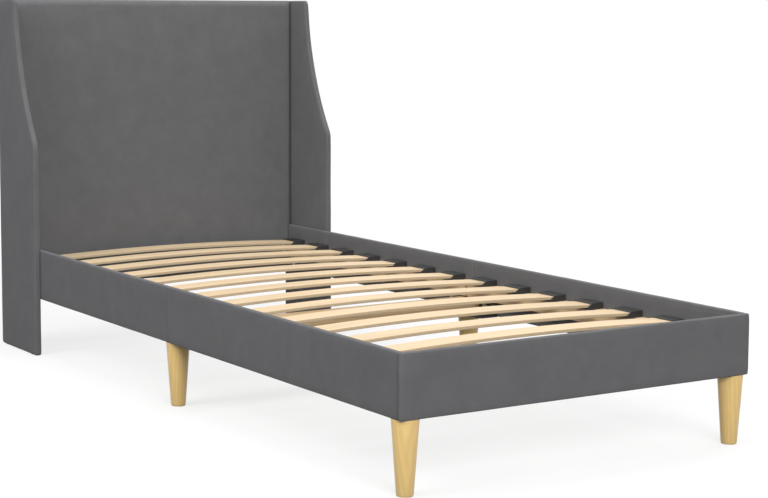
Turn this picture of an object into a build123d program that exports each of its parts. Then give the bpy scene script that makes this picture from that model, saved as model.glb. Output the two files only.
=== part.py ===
from build123d import *
import math
import os

# Upholstered single bed frame with a winged headboard, in millimetres, +Z up.
# X runs across the bed, the foot is at -Y, the head at +Y, and the floor is at Z = 0.
# Pieces that come in pairs are drawn on the +X side and mirrored to the -X side.

# Mattress that the frame holds
mattress_width = 900
mattress_length = 2000
mattress_play = 8

# Rails: a board in a fabric cover
board_thickness = 12
cover_thickness = 1.5
rail_height = 137
rail_edge_radius = 4
foot_corner_radius = 7.5
front_half_length = 1014

# Headboard panel, its layers from the front to the back
headboard_height = 992
panel_front_radius = 12
foam_thickness = 14.5
face_board_thickness = 3
batten_depth = 26
back_cloth_thickness = 0.5
back_cloth_margin = 6
cover_return = 35
panel_side_gap = 0.5
stile_width = 40
cross_batten_height = 60
mid_batten_share = 0.5
tie_bolt_height_shares = (0.3, 0.88)

# Wings: a shaped board in a padded cover
wing_padding = 3
wing_depth = 254.5
wing_top_depth = 117
wing_kink_height = 565
wing_hollow = 27
wing_edge_chamfer = 3
wing_top_front_radius = 12
wing_top_back_radius = 10
wing_bolt_setback = 40
wing_bolt_spacing = 130
wing_bolt_rows = 2

# Legs, turned and tapered
leg_height = 158
leg_top_radius = 29
leg_foot_radius = 18
leg_sides = 24
leg_setback = 1
glide_height = 3
leg_glide_radius = 14
wing_glide_radius = 7
wing_glide_setback = 35
glide_sides = 12
glide_pin_radius = 1.5
glide_pin_length = 12

# Ledgers, slats and their holders
ledger_width = 25
ledger_height = 40
ledger_drop = 55
ledger_end_gap = 5
ledger_edge_chamfer = 2
slats_in_half = 7
slat_width = 63
slat_thickness = 8
slat_crown = 12
slat_end_gap = 1
holder_depth = 46
holder_floor = 3
holder_lip = 4
holder_roof = 2.5
holder_roof_setback = 12
holder_wall = 3
holder_rail_gap = 2
holder_slat_gap = 0.4
peg_radius = 4
peg_length = 18
peg_spacing = 40
peg_setback = 11

# Steel plate parts and the cross bar
plate_thickness = 3
flange_height = 40
bracket_length = 60
plate_corner_chamfer = 9
angle_length = 220
angle_width = 60
cross_bar_width = 60
cross_bar_gap = 3
cross_bar_edge_chamfer = 2
frame_bolt_height = 22
bracket_bolt_first = 24
bracket_bolt_second = 46
angle_bolt_first = 58
angle_bolt_second = 94

# Bolts, nuts and inserts
bolt_radius = 4
bolt_head_half_width = 6.5
bolt_head_height = 5
bolt_end_gap = 0.6
insert_radius = 6.5
insert_short = 1
hole_clearance = 0.5
fit_clearance = 0.1
hanger_in_leg = 45
hanger_above_plate = 14
leg_nut_half_width = 6.5
leg_nut_height = 6.5
nut_pocket_radius = 10
round_sides = 6
hex_sides = 6

# Places that follow from the sizes above
rail_thickness = board_thickness + 2 * cover_thickness
panel_thickness = (
    2 * cover_thickness + foam_thickness + face_board_thickness + batten_depth + back_cloth_thickness
)
inside_length = mattress_length + mattress_play
overall_length = rail_thickness + inside_length + panel_thickness
rail_inner_x = mattress_width / 2
rail_outer_x = rail_inner_x + rail_thickness
foot_y = -overall_length / 2
head_y = overall_length / 2
rail_start_y = foot_y + rail_thickness
seam_y = rail_start_y + front_half_length
panel_front_y = rail_start_y + inside_length
rail_top_z = leg_height + rail_height
rail_half_spans = {"front": (rail_start_y, seam_y), "rear": (seam_y, panel_front_y)}

panel_half_width = rail_outer_x - panel_side_gap
panel_back_y = head_y - back_cloth_thickness
foam_back_y = panel_front_y + cover_thickness + foam_thickness
face_board_back_y = foam_back_y + face_board_thickness
core_half_width = panel_half_width - cover_thickness
core_bottom_z = leg_height + cover_thickness
core_top_z = headboard_height - cover_thickness

frame_bolt_z = leg_height + frame_bolt_height
wing_thickness = board_thickness + 2 * wing_padding
wing_outer_x = rail_outer_x + wing_thickness
wing_front_y = head_y - wing_depth
wing_bolt_seat_x = rail_inner_x
wing_board_inner_x = rail_outer_x + wing_padding
wing_board_outer_x = wing_outer_x - wing_padding
wing_rail_bolts = [
    (wing_front_y + wing_bolt_setback + row * wing_bolt_spacing, frame_bolt_z) for row in range(wing_bolt_rows)
]
tie_bolt_y = face_board_back_y + batten_depth / 2
tie_bolts = [
    (tie_bolt_y, leg_height + share * (headboard_height - leg_height)) for share in tie_bolt_height_shares
]
wing_bolts_at = wing_rail_bolts + tie_bolts

ledger_top_z = rail_top_z - ledger_drop
ledger_bottom_z = ledger_top_z - ledger_height
ledger_inner_x = rail_inner_x - ledger_width
plate_inner_x = rail_inner_x - plate_thickness
leg_x = rail_outer_x - leg_setback - leg_top_radius
leg_places = {"foot": foot_y + leg_setback + leg_top_radius, "mid": seam_y}

bolt_hole_radius = bolt_radius + hole_clearance
bolt_bore_radius = bolt_radius + fit_clearance
insert_hole_radius = insert_radius + fit_clearance
bolt_head_clear_radius = bolt_head_half_width / math.cos(math.pi / hex_sides) + hole_clearance
frame_bolt_length = plate_thickness + cover_thickness + board_thickness - bolt_end_gap
wing_bolt_length = wing_board_outer_x - wing_bolt_seat_x - bolt_end_gap

# Bolts through each half rail into the plates, as places along Y
bracket_bolt_offsets = (bracket_bolt_first, bracket_bolt_second)
angle_bolt_offsets = (angle_bolt_first, angle_bolt_second)
plate_bolts = {
    "front": [rail_start_y + offset for offset in bracket_bolt_offsets]
    + [seam_y - offset for offset in angle_bolt_offsets],
    "rear": [seam_y + offset for offset in angle_bolt_offsets],
}
foot_bolt_xs = [rail_inner_x - offset for offset in bracket_bolt_offsets]
foot_bolts = [(side * x, frame_bolt_z) for x in foot_bolt_xs for side in (-1, 1)]

# Slats share each half rail evenly
slat_ys = [
    start + (end - start) * (2 * index + 1) / (2 * slats_in_half)
    for start, end in rail_half_spans.values()
    for index in range(slats_in_half)
]
holder_outer_x = rail_inner_x - holder_rail_gap
holder_mouth_x = holder_outer_x - holder_depth
slat_end_x = holder_outer_x - holder_wall - slat_end_gap
slat_bottom_z = ledger_top_z + holder_floor
slat_rise_in_holder = slat_crown * (1 - (holder_mouth_x / slat_end_x) ** 2)
pocket_height = slat_thickness + slat_rise_in_holder + holder_slat_gap
pocket_width = slat_width + 2 * holder_slat_gap
holder_width = pocket_width + 2 * holder_wall
holder_top_z = slat_bottom_z + pocket_height + holder_roof
peg_x = holder_outer_x - peg_setback


def across(x):
    """Plane across the bed at x, with Y and Z as its axes and +X as its normal."""
    return Plane.YZ.offset(x)


def along(y):
    """Upright plane at y, with X and Z as its axes and -Y as its normal."""
    return Plane.XZ.offset(-y)


def level(z):
    """Level plane at z, with X and Y as its axes and +Z as its normal."""
    return Plane.XY.offset(z)


def facing(x, y, z, toward):
    """Plane at a point, with its normal along a direction."""
    return Plane(origin=(x, y, z), z_dir=toward)


def eased_rectangle(plane, first_span, second_span, low_radius=0, high_radius=0, axis=Axis.Y):
    """Rectangle between two spans, its corners rounded at the low and the high end of an axis."""
    with BuildSketch(plane) as outline:
        with Locations((sum(first_span) / 2, sum(second_span) / 2)):
            Rectangle(first_span[1] - first_span[0], second_span[1] - second_span[0])
        if low_radius > 0:
            fillet(outline.vertices().group_by(axis)[0], low_radius)
        if high_radius > 0:
            fillet(outline.vertices().group_by(axis)[-1], high_radius)
    return outline.sketch


def slab(x_span, y_span, z_span, mode=Mode.ADD):
    """Square-edged block between three spans, added to or cut from the part being built."""
    outline = eased_rectangle(level(z_span[0]), x_span, y_span)
    extrude(outline, amount=z_span[1] - z_span[0], mode=mode)


def crossed(plan, plan_depth, section, section_depth):
    """Solid with one outline seen from above and another seen from its end or side."""
    with BuildPart() as body:
        extrude(plan, amount=plan_depth)
        extrude(section, amount=section_depth, mode=Mode.INTERSECT)
    return body.part


# Holes and pins have a few flats each. A hole's flats and a pin's corners lie at its radius.
def bore(plane, places, radius, depth):
    """Cut holes from a plane to a depth, at places on that plane."""
    with BuildSketch(plane) as outlines:
        with Locations(*places):
            RegularPolygon(radius, round_sides, major_radius=False)
    extrude(outlines.sketch, amount=depth, mode=Mode.SUBTRACT)


def pin(plane, places, radius, depth, sides=round_sides):
    """Add pins or discs from a plane to a depth, at places on that plane."""
    with BuildSketch(plane) as outlines:
        with Locations(*places):
            RegularPolygon(radius, sides)
    extrude(outlines.sketch, amount=depth)


def write(piece, name):
    """Label a finished piece and write its file."""
    piece.part.label = name
    export_step(piece.part, f"parts/{name}.step")


def write_pair(piece, name):
    """Write a piece drawn on the right, and its mirror image on the left."""
    write(piece, f"{name}_right")
    with BuildPart() as left:
        mirror(piece.part, about=Plane.YZ)
    write(left, f"{name}_left")


def foot_rail_plan(inset):
    """Foot rail seen from above, drawn in by an inset all round, its outer corners rounded."""
    x_span = (inset - rail_outer_x, rail_outer_x - inset)
    y_span = (foot_y + inset, rail_start_y - inset)
    return eased_rectangle(level(leg_height + inset), x_span, y_span, foot_corner_radius - inset)


def panel_form(inset, back_y):
    """Headboard panel with a rounded front, drawn in by an inset, as far back as back_y."""
    x_span = (inset - panel_half_width, panel_half_width - inset)
    y_span = (panel_front_y + inset, back_y)
    z_span = (leg_height + inset, headboard_height - inset)
    radius = panel_front_radius - inset
    plan = eased_rectangle(level(z_span[0]), x_span, y_span, radius)
    section = eased_rectangle(across(x_span[0]), y_span, z_span, radius, axis=Axis.X)
    return crossed(plan, z_span[1] - z_span[0], section, x_span[1] - x_span[0])


def wing_outline(x, inset):
    """Side outline of a wing on the plane at x, drawn in by an inset all round."""
    foot = (wing_front_y, glide_height)
    kink = (wing_front_y, wing_kink_height)
    top_front = (head_y - wing_top_depth, headboard_height)
    top_back = (head_y, headboard_height)
    foot_back = (head_y, glide_height)
    with BuildSketch(across(x)) as outline:
        with BuildLine():
            Line(foot, kink)
            SagittaArc(kink, top_front, -wing_hollow)
            Polyline(top_front, top_back, foot_back, foot)
        make_face()
        for corner, radius in ((top_front, wing_top_front_radius), (top_back, wing_top_back_radius)):
            fillet(outline.vertices().sort_by_distance(corner)[0], radius)
        if inset > 0:
            offset(amount=-inset)
    return outline.sketch


def hex_bolt(length):
    """Bolt with its hexagon head above its seat and its shank below."""
    with BuildPart() as body:
        with BuildSketch(level(0)):
            RegularPolygon(bolt_head_half_width, hex_sides, major_radius=False)
        extrude(amount=bolt_head_height)
        pin(level(0), [(0, 0)], bolt_radius, -length)
    return body.part


def leg_side_view(x, y, turn):
    """Tapered outline of a leg on an upright plane through its middle, at a turn about it."""
    view = Plane(
        origin=(x, y, 0),
        x_dir=(math.cos(turn), math.sin(turn), 0),
        z_dir=(math.sin(turn), -math.cos(turn), 0),
    )
    with BuildSketch(view) as outline:
        Polygon(
            (-leg_foot_radius, glide_height),
            (leg_foot_radius, glide_height),
            (leg_top_radius, leg_height),
            (-leg_top_radius, leg_height),
            align=None,
        )
    return outline.sketch


def glide(radius):
    """Plastic glide on the floor, with a pin on top."""
    with BuildPart() as body:
        pin(level(0), [(0, 0)], radius, glide_height, glide_sides)
        pin(level(glide_height), [(0, 0)], glide_pin_radius, glide_pin_length - fit_clearance)
    return body.part


os.makedirs("parts", exist_ok=True)

# Side rails, each in a front and a rear half that butt at the seam
for half, y_span in rail_half_spans.items():
    insert_places = [(y, frame_bolt_z) for y in plate_bolts[half]]
    wing_places = wing_rail_bolts if half == "rear" else []
    half_slats = [y for y in slat_ys if y_span[0] < y < y_span[1]]

    board_x_span = (rail_inner_x + cover_thickness, rail_outer_x - cover_thickness)
    board_y_span = (y_span[0] + cover_thickness, y_span[1] - cover_thickness)
    board_z_span = (leg_height + cover_thickness, rail_top_z - cover_thickness)
    with BuildPart() as rail_board:
        slab(board_x_span, board_y_span, board_z_span)
        bore(across(board_x_span[0]), insert_places, insert_hole_radius, board_thickness)
        if wing_places:
            bore(across(board_x_span[0]), wing_places, bolt_hole_radius, board_thickness)
    write_pair(rail_board, f"side_rail_board_{half}")

    with BuildPart() as rail_cover:
        section = eased_rectangle(
            along(y_span[1]),
            (rail_inner_x, rail_outer_x),
            (leg_height, rail_top_z),
            rail_edge_radius,
            rail_edge_radius,
        )
        extrude(section, amount=y_span[1] - y_span[0])
        slab(board_x_span, board_y_span, board_z_span, mode=Mode.SUBTRACT)
        bore(across(rail_inner_x), insert_places, bolt_hole_radius, cover_thickness)
        if wing_places:
            bore(across(rail_inner_x), wing_places, bolt_hole_radius, rail_thickness)
    write_pair(rail_cover, f"side_rail_cover_{half}")

    ledger_span = (y_span[0] + ledger_end_gap, y_span[1] - ledger_end_gap)
    peg_places = [(peg_x, y + side * peg_spacing / 2) for y in half_slats for side in (-1, 1)]
    with BuildPart() as ledger:
        slab((ledger_inner_x, rail_inner_x), ledger_span, (ledger_bottom_z, ledger_top_z))
        inner_edges = ledger.edges().filter_by(Axis.Y).group_by(Axis.X)[0]
        chamfer(inner_edges, ledger_edge_chamfer)
        bore(level(ledger_top_z), peg_places, peg_radius + fit_clearance, -(peg_length + fit_clearance))
    write_pair(ledger, f"ledger_{half}")

# Foot rail
foot_board_height = rail_height - 2 * cover_thickness

with BuildPart() as foot_rail_board:
    extrude(foot_rail_plan(cover_thickness), amount=foot_board_height)
    bore(along(rail_start_y - cover_thickness), foot_bolts, insert_hole_radius, board_thickness)
write(foot_rail_board, "foot_rail_board")

with BuildPart() as foot_rail_cover:
    foot_section = eased_rectangle(
        across(-rail_outer_x),
        (foot_y, rail_start_y),
        (leg_height, rail_top_z),
        rail_edge_radius,
        rail_edge_radius,
    )
    add(crossed(foot_rail_plan(0), rail_height, foot_section, 2 * rail_outer_x))
    extrude(foot_rail_plan(cover_thickness), amount=foot_board_height, mode=Mode.SUBTRACT)
    bore(along(rail_start_y), foot_bolts, bolt_hole_radius, cover_thickness)
write(foot_rail_cover, "foot_rail_cover")

# Headboard: foam on a face board on a frame of battens, in one cover
with BuildPart() as headboard_foam:
    add(panel_form(cover_thickness, foam_back_y))
write(headboard_foam, "headboard_foam")

core_x_span = (-core_half_width, core_half_width)
core_z_span = (core_bottom_z, core_top_z)
batten_y_span = (face_board_back_y, face_board_back_y + batten_depth)

with BuildPart() as headboard_face_board:
    slab(core_x_span, (foam_back_y, face_board_back_y), core_z_span)
write(headboard_face_board, "headboard_face_board")

stile_inner_x = core_half_width - stile_width
with BuildPart() as headboard_stile:
    slab((stile_inner_x, core_half_width), batten_y_span, core_z_span)
    bore(across(stile_inner_x), tie_bolts, bolt_hole_radius, stile_width)
    bore(across(stile_inner_x), tie_bolts, bolt_head_clear_radius, wing_bolt_seat_x - stile_inner_x)
write_pair(headboard_stile, "headboard_stile")

mid_batten_z = core_bottom_z + mid_batten_share * (core_top_z - core_bottom_z - cross_batten_height)
cross_battens = {
    "headboard_bottom_batten": core_bottom_z,
    "headboard_mid_batten": mid_batten_z,
    "headboard_top_batten": core_top_z - cross_batten_height,
}
for name, bottom_z in cross_battens.items():
    with BuildPart() as cross_batten:
        slab((-stile_inner_x, stile_inner_x), batten_y_span, (bottom_z, bottom_z + cross_batten_height))
    write(cross_batten, name)

with BuildPart() as headboard_cover:
    add(panel_form(0, panel_back_y))
    add(panel_form(cover_thickness, foam_back_y), mode=Mode.SUBTRACT)
    slab(core_x_span, (foam_back_y, panel_back_y - cover_thickness), core_z_span, mode=Mode.SUBTRACT)
    slab(
        (cover_return - core_half_width, core_half_width - cover_return),
        (panel_back_y - cover_thickness, panel_back_y),
        (core_bottom_z + cover_return, core_top_z - cover_return),
        mode=Mode.SUBTRACT,
    )
    bore(across(core_half_width), tie_bolts, bolt_hole_radius, cover_thickness)
    bore(across(-core_half_width), tie_bolts, bolt_hole_radius, -cover_thickness)
write(headboard_cover, "headboard_cover")

with BuildPart() as headboard_back_cloth:
    slab(
        (back_cloth_margin - panel_half_width, panel_half_width - back_cloth_margin),
        (panel_back_y, head_y),
        (leg_height + back_cloth_margin, headboard_height - back_cloth_margin),
    )
write(headboard_back_cloth, "headboard_back_cloth")

# Wings: a shaped board in a padded cover, bolted to the rail and to the panel
wing_glide_x = (rail_outer_x + wing_outer_x) / 2
wing_glides_at = [
    (wing_glide_x, wing_front_y + wing_glide_setback),
    (wing_glide_x, head_y - wing_glide_setback),
]
pin_hole_radius = glide_pin_radius + fit_clearance

with BuildPart() as wing_board:
    extrude(wing_outline(wing_board_inner_x, wing_padding), amount=board_thickness)
    bore(across(wing_board_inner_x), wing_bolts_at, insert_hole_radius, board_thickness)
    bore(level(glide_height), wing_glides_at, pin_hole_radius, glide_pin_length)
write_pair(wing_board, "wing_board")

with BuildPart() as wing_cover:
    extrude(wing_outline(rail_outer_x, 0), amount=wing_thickness)
    side_edges = wing_cover.faces().filter_by(Axis.X).edges()
    chamfer(side_edges, wing_edge_chamfer)
    extrude(
        wing_outline(wing_board_inner_x, wing_padding), amount=board_thickness, mode=Mode.SUBTRACT
    )
    bore(across(rail_outer_x), wing_bolts_at, bolt_hole_radius, wing_padding)
    bore(level(glide_height), wing_glides_at, pin_hole_radius, wing_padding)
write_pair(wing_cover, "wing_cover")

# Bowed plywood slats, each its own piece
slat_end_top_z = slat_bottom_z + slat_thickness
for number, slat_y in enumerate(slat_ys, start=1):
    with BuildPart() as slat:
        with BuildSketch(along(slat_y + slat_width / 2)):
            with BuildLine():
                ThreePointArc(
                    (-slat_end_x, slat_bottom_z), (0, slat_bottom_z + slat_crown), (slat_end_x, slat_bottom_z)
                )
                Line((slat_end_x, slat_bottom_z), (slat_end_x, slat_end_top_z))
                ThreePointArc(
                    (slat_end_x, slat_end_top_z), (0, slat_end_top_z + slat_crown), (-slat_end_x, slat_end_top_z)
                )
                Line((-slat_end_x, slat_end_top_z), (-slat_end_x, slat_bottom_z))
            make_face()
        extrude(amount=slat_width)
    write(slat, f"slat_{number:02d}")

# Moulded holder: an open pocket for the slat's end, on two pegs that push into the ledger
with BuildPart() as holder:
    with BuildSketch(along(holder_width / 2)):
        Polygon(
            (holder_outer_x, ledger_top_z),
            (holder_outer_x, holder_top_z),
            (holder_mouth_x + holder_roof_setback, holder_top_z),
            (holder_mouth_x, slat_bottom_z + holder_lip),
            (holder_mouth_x, ledger_top_z),
            align=None,
        )
    extrude(amount=holder_width)
    slab(
        (holder_mouth_x, holder_outer_x - holder_wall),
        (-pocket_width / 2, pocket_width / 2),
        (slat_bottom_z, slat_bottom_z + pocket_height),
        mode=Mode.SUBTRACT,
    )
    pegs = [(peg_x, side * peg_spacing / 2) for side in (-1, 1)]
    pin(level(ledger_top_z), pegs, peg_radius, -peg_length)

with BuildPart() as slat_holders:
    with Locations(*[(0, y, 0) for y in slat_ys]):
        add(holder.part)
write_pair(slat_holders, "slat_holders")

# Corner bracket: a base plate under two upright flanges
bracket_x_span = (rail_inner_x - bracket_length, rail_inner_x)
bracket_y_span = (rail_start_y, rail_start_y + bracket_length)
base_z_span = (leg_height, leg_height + plate_thickness)
flange_z_span = (leg_height, leg_height + flange_height)

with BuildPart() as corner_bracket:
    slab(bracket_x_span, bracket_y_span, base_z_span)
    slab((plate_inner_x, rail_inner_x), bracket_y_span, flange_z_span)
    slab(bracket_x_span, (rail_start_y, rail_start_y + plate_thickness), flange_z_span)
    free_corners = {
        Axis.X: (rail_inner_x, bracket_y_span[1], flange_z_span[1]),
        Axis.Y: (bracket_x_span[0], rail_start_y, flange_z_span[1]),
        Axis.Z: (bracket_x_span[0], bracket_y_span[1], leg_height),
    }
    for axis, corner in free_corners.items():
        chamfer(corner_bracket.edges().filter_by(axis).sort_by_distance(corner)[0], plate_corner_chamfer)
    bore(level(leg_height), [(leg_x, leg_places["foot"])], bolt_hole_radius, plate_thickness)
    side_places = [(rail_start_y + offset, frame_bolt_z) for offset in bracket_bolt_offsets]
    bore(across(plate_inner_x), side_places, bolt_hole_radius, plate_thickness)
    foot_places = [(x, frame_bolt_z) for x in foot_bolt_xs]
    bore(along(rail_start_y + plate_thickness), foot_places, bolt_hole_radius, plate_thickness)
write_pair(corner_bracket, "corner_bracket")

# Joint angle: its upright flange ties the two half rails, its level flange carries the bar and leg
angle_y_span = (seam_y - angle_length / 2, seam_y + angle_length / 2)
with BuildPart() as joint_angle:
    slab((rail_inner_x - angle_width, rail_inner_x), angle_y_span, base_z_span)
    slab((plate_inner_x, rail_inner_x), angle_y_span, flange_z_span)
    free_corners = joint_angle.edges().filter_by(Axis.Z).group_by(Axis.X)[0]
    chamfer(free_corners, plate_corner_chamfer)
    bore(level(leg_height), [(leg_x, seam_y)], bolt_hole_radius, plate_thickness)
    upright_places = [
        (seam_y + side * offset, frame_bolt_z) for side in (-1, 1) for offset in angle_bolt_offsets
    ]
    bore(across(plate_inner_x), upright_places, bolt_hole_radius, plate_thickness)
write_pair(joint_angle, "joint_angle")

# Cross bar between the two joint angles
bar_bottom_z = leg_height + plate_thickness
with BuildPart() as mid_cross_bar:
    slab(
        (-plate_inner_x, plate_inner_x),
        (seam_y - cross_bar_width / 2, seam_y + cross_bar_width / 2),
        (bar_bottom_z, ledger_bottom_z - cross_bar_gap),
    )
    chamfer(mid_cross_bar.edges().filter_by(Axis.X), cross_bar_edge_chamfer)
    bar_legs = [(side * leg_x, seam_y) for side in (-1, 1)]
    bore(level(bar_bottom_z), bar_legs, nut_pocket_radius, hanger_above_plate)
write(mid_cross_bar, "mid_cross_bar")

# Legs with a hanger bolt at the top and a glide at the bottom
for place, leg_y in leg_places.items():
    with BuildPart() as leg:
        extrude(leg_side_view(leg_x, leg_y, 0), amount=leg_top_radius, both=True)
        for flat in range(1, leg_sides // 2):
            side_view = leg_side_view(leg_x, leg_y, flat * 2 * math.pi / leg_sides)
            extrude(side_view, amount=2 * leg_top_radius, both=True, mode=Mode.INTERSECT)
        bore(level(leg_height), [(leg_x, leg_y)], bolt_bore_radius, -(hanger_in_leg + fit_clearance))
        bore(level(glide_height), [(leg_x, leg_y)], pin_hole_radius, glide_pin_length)
    write_pair(leg, f"leg_{place}")

leg_spots = [(side * leg_x, leg_y) for side in (-1, 1) for leg_y in leg_places.values()]

with BuildPart() as leg_hanger_bolts:
    pin(level(leg_height - hanger_in_leg), leg_spots, bolt_radius, hanger_in_leg + hanger_above_plate)
write(leg_hanger_bolts, "leg_hanger_bolts")

with BuildPart() as leg_nuts:
    with BuildSketch(level(leg_height + plate_thickness)):
        with Locations(*leg_spots):
            RegularPolygon(leg_nut_half_width, hex_sides, major_radius=False)
    extrude(amount=leg_nut_height)
    bore(level(leg_height + plate_thickness), leg_spots, bolt_bore_radius, leg_nut_height)
write(leg_nuts, "leg_nuts")

with BuildPart() as leg_glides:
    with Locations(*leg_spots):
        add(glide(leg_glide_radius))
write(leg_glides, "leg_glides")

with BuildPart() as wing_glides:
    with Locations(*[(side * x, y) for x, y in wing_glides_at for side in (-1, 1)]):
        add(glide(wing_glide_radius))
write(wing_glides, "wing_glides")

# Bolts that tie the rails to the corner brackets and joint angles
side_plate_bolts = plate_bolts["front"] + plate_bolts["rear"]
with BuildPart() as frame_bolts:
    seats = [
        facing(side * plate_inner_x, y, frame_bolt_z, (-side, 0, 0)) for side in (-1, 1) for y in side_plate_bolts
    ]
    seats += [facing(x, rail_start_y + plate_thickness, z, (0, 1, 0)) for x, z in foot_bolts]
    with Locations(*seats):
        add(hex_bolt(frame_bolt_length))
write(frame_bolts, "frame_bolts")

# Bolts that tie the wings to the rails and to the headboard's stiles
with BuildPart() as wing_bolts:
    seats = [
        facing(side * wing_bolt_seat_x, y, z, (-side, 0, 0)) for side in (-1, 1) for y, z in wing_bolts_at
    ]
    with Locations(*seats):
        add(hex_bolt(wing_bolt_length))
write(wing_bolts, "wing_bolts")

# Threaded inserts, pressed into the boards from their outer faces
with BuildPart() as threaded_insert:
    pin(level(0), [(0, 0)], insert_radius, board_thickness - insert_short)
    bore(level(0), [(0, 0)], bolt_bore_radius, board_thickness - insert_short)

with BuildPart() as threaded_inserts:
    rail_board_outer_x = rail_outer_x - cover_thickness
    seats = [
        facing(side * rail_board_outer_x, y, frame_bolt_z, (-side, 0, 0))
        for side in (-1, 1)
        for y in side_plate_bolts
    ]
    seats += [facing(x, foot_y + cover_thickness, z, (0, 1, 0)) for x, z in foot_bolts]
    seats += [
        facing(side * wing_board_outer_x, y, z, (-side, 0, 0)) for side in (-1, 1) for y, z in wing_bolts_at
    ]
    with Locations(*seats):
        add(threaded_insert.part)
write(threaded_inserts, "threaded_inserts")
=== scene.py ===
"""Upholstered single bed frame with a winged headboard, in metres, +Z up.

X runs across the bed, the foot is at -Y, the head at +Y, and the floor is at Z = 0.
"""

import logging
import math
from collections.abc import Callable, Iterable
from dataclasses import dataclass, field
from enum import Enum

import bmesh
import bpy
from bmesh.types import BMEdge, BMesh, BMFace, BMVert
from bpy.types import Material, Node, NodeSocket, Object, World
from mathutils import Matrix, Vector, noise
from mathutils.bvhtree import BVHTree


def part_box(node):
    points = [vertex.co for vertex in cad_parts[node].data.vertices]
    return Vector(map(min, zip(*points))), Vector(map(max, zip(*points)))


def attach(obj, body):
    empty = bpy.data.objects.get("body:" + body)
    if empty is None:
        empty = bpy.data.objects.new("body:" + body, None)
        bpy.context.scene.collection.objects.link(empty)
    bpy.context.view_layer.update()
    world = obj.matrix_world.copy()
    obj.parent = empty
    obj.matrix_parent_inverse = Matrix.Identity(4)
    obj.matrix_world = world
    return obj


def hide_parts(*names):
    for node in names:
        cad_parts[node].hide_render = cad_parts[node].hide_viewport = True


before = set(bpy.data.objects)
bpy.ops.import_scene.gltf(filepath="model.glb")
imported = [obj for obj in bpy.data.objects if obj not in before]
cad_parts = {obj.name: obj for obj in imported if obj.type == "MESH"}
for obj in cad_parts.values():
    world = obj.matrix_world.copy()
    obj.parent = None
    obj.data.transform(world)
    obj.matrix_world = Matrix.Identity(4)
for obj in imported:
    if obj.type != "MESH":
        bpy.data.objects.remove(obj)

logging.basicConfig(level=logging.INFO, format="%(message)s")
LOG = logging.getLogger("bed_frame")

BODY = "root"
MM = 0.001
SAME = 1e-6
TINY = 1e-7
ALONG = 0.99
FACING = 0.9
FLAT = math.radians(1)
SHARP = math.radians(70)
BOARD_FACES = 2
GATHER_START = 4 * MM
SEED_SHIFT = (1.0, 0.7, 1.3)
CLOTH_MAP = "cloth"
GRAIN_MAP = "grain"
SIDES = {"left": -1, "right": 1}
HALVES = ("front", "rear")
Triple = tuple[float, float, float]
Pair = tuple[float, float]
WHITE = (1.0, 1.0, 1.0)


class Axis(Enum):
    """Axes of the bed: across, along and up."""

    X = 0
    Y = 1
    Z = 2

    def triple(self, own: float, other: float) -> Triple:
        """One number for this axis and another for the other two."""
        return tuple(own if index == self.value else other for index in range(3))

    @property
    def vector(self) -> Vector:
        """Unit vector of the axis."""
        return Vector(self.triple(1.0, 0.0))


def shade(colour: Triple, factor: float = 1.0) -> tuple[float, ...]:
    """Opaque colour, made darker or lighter by a factor."""
    return (*(part * factor for part in colour), 1.0)


@dataclass(frozen=True)
class Grain:
    """Noise with its features to a metre, its octaves and the strength of the finer ones."""

    scale: float
    detail: float = 3.0
    rough: float = 0.5


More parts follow.
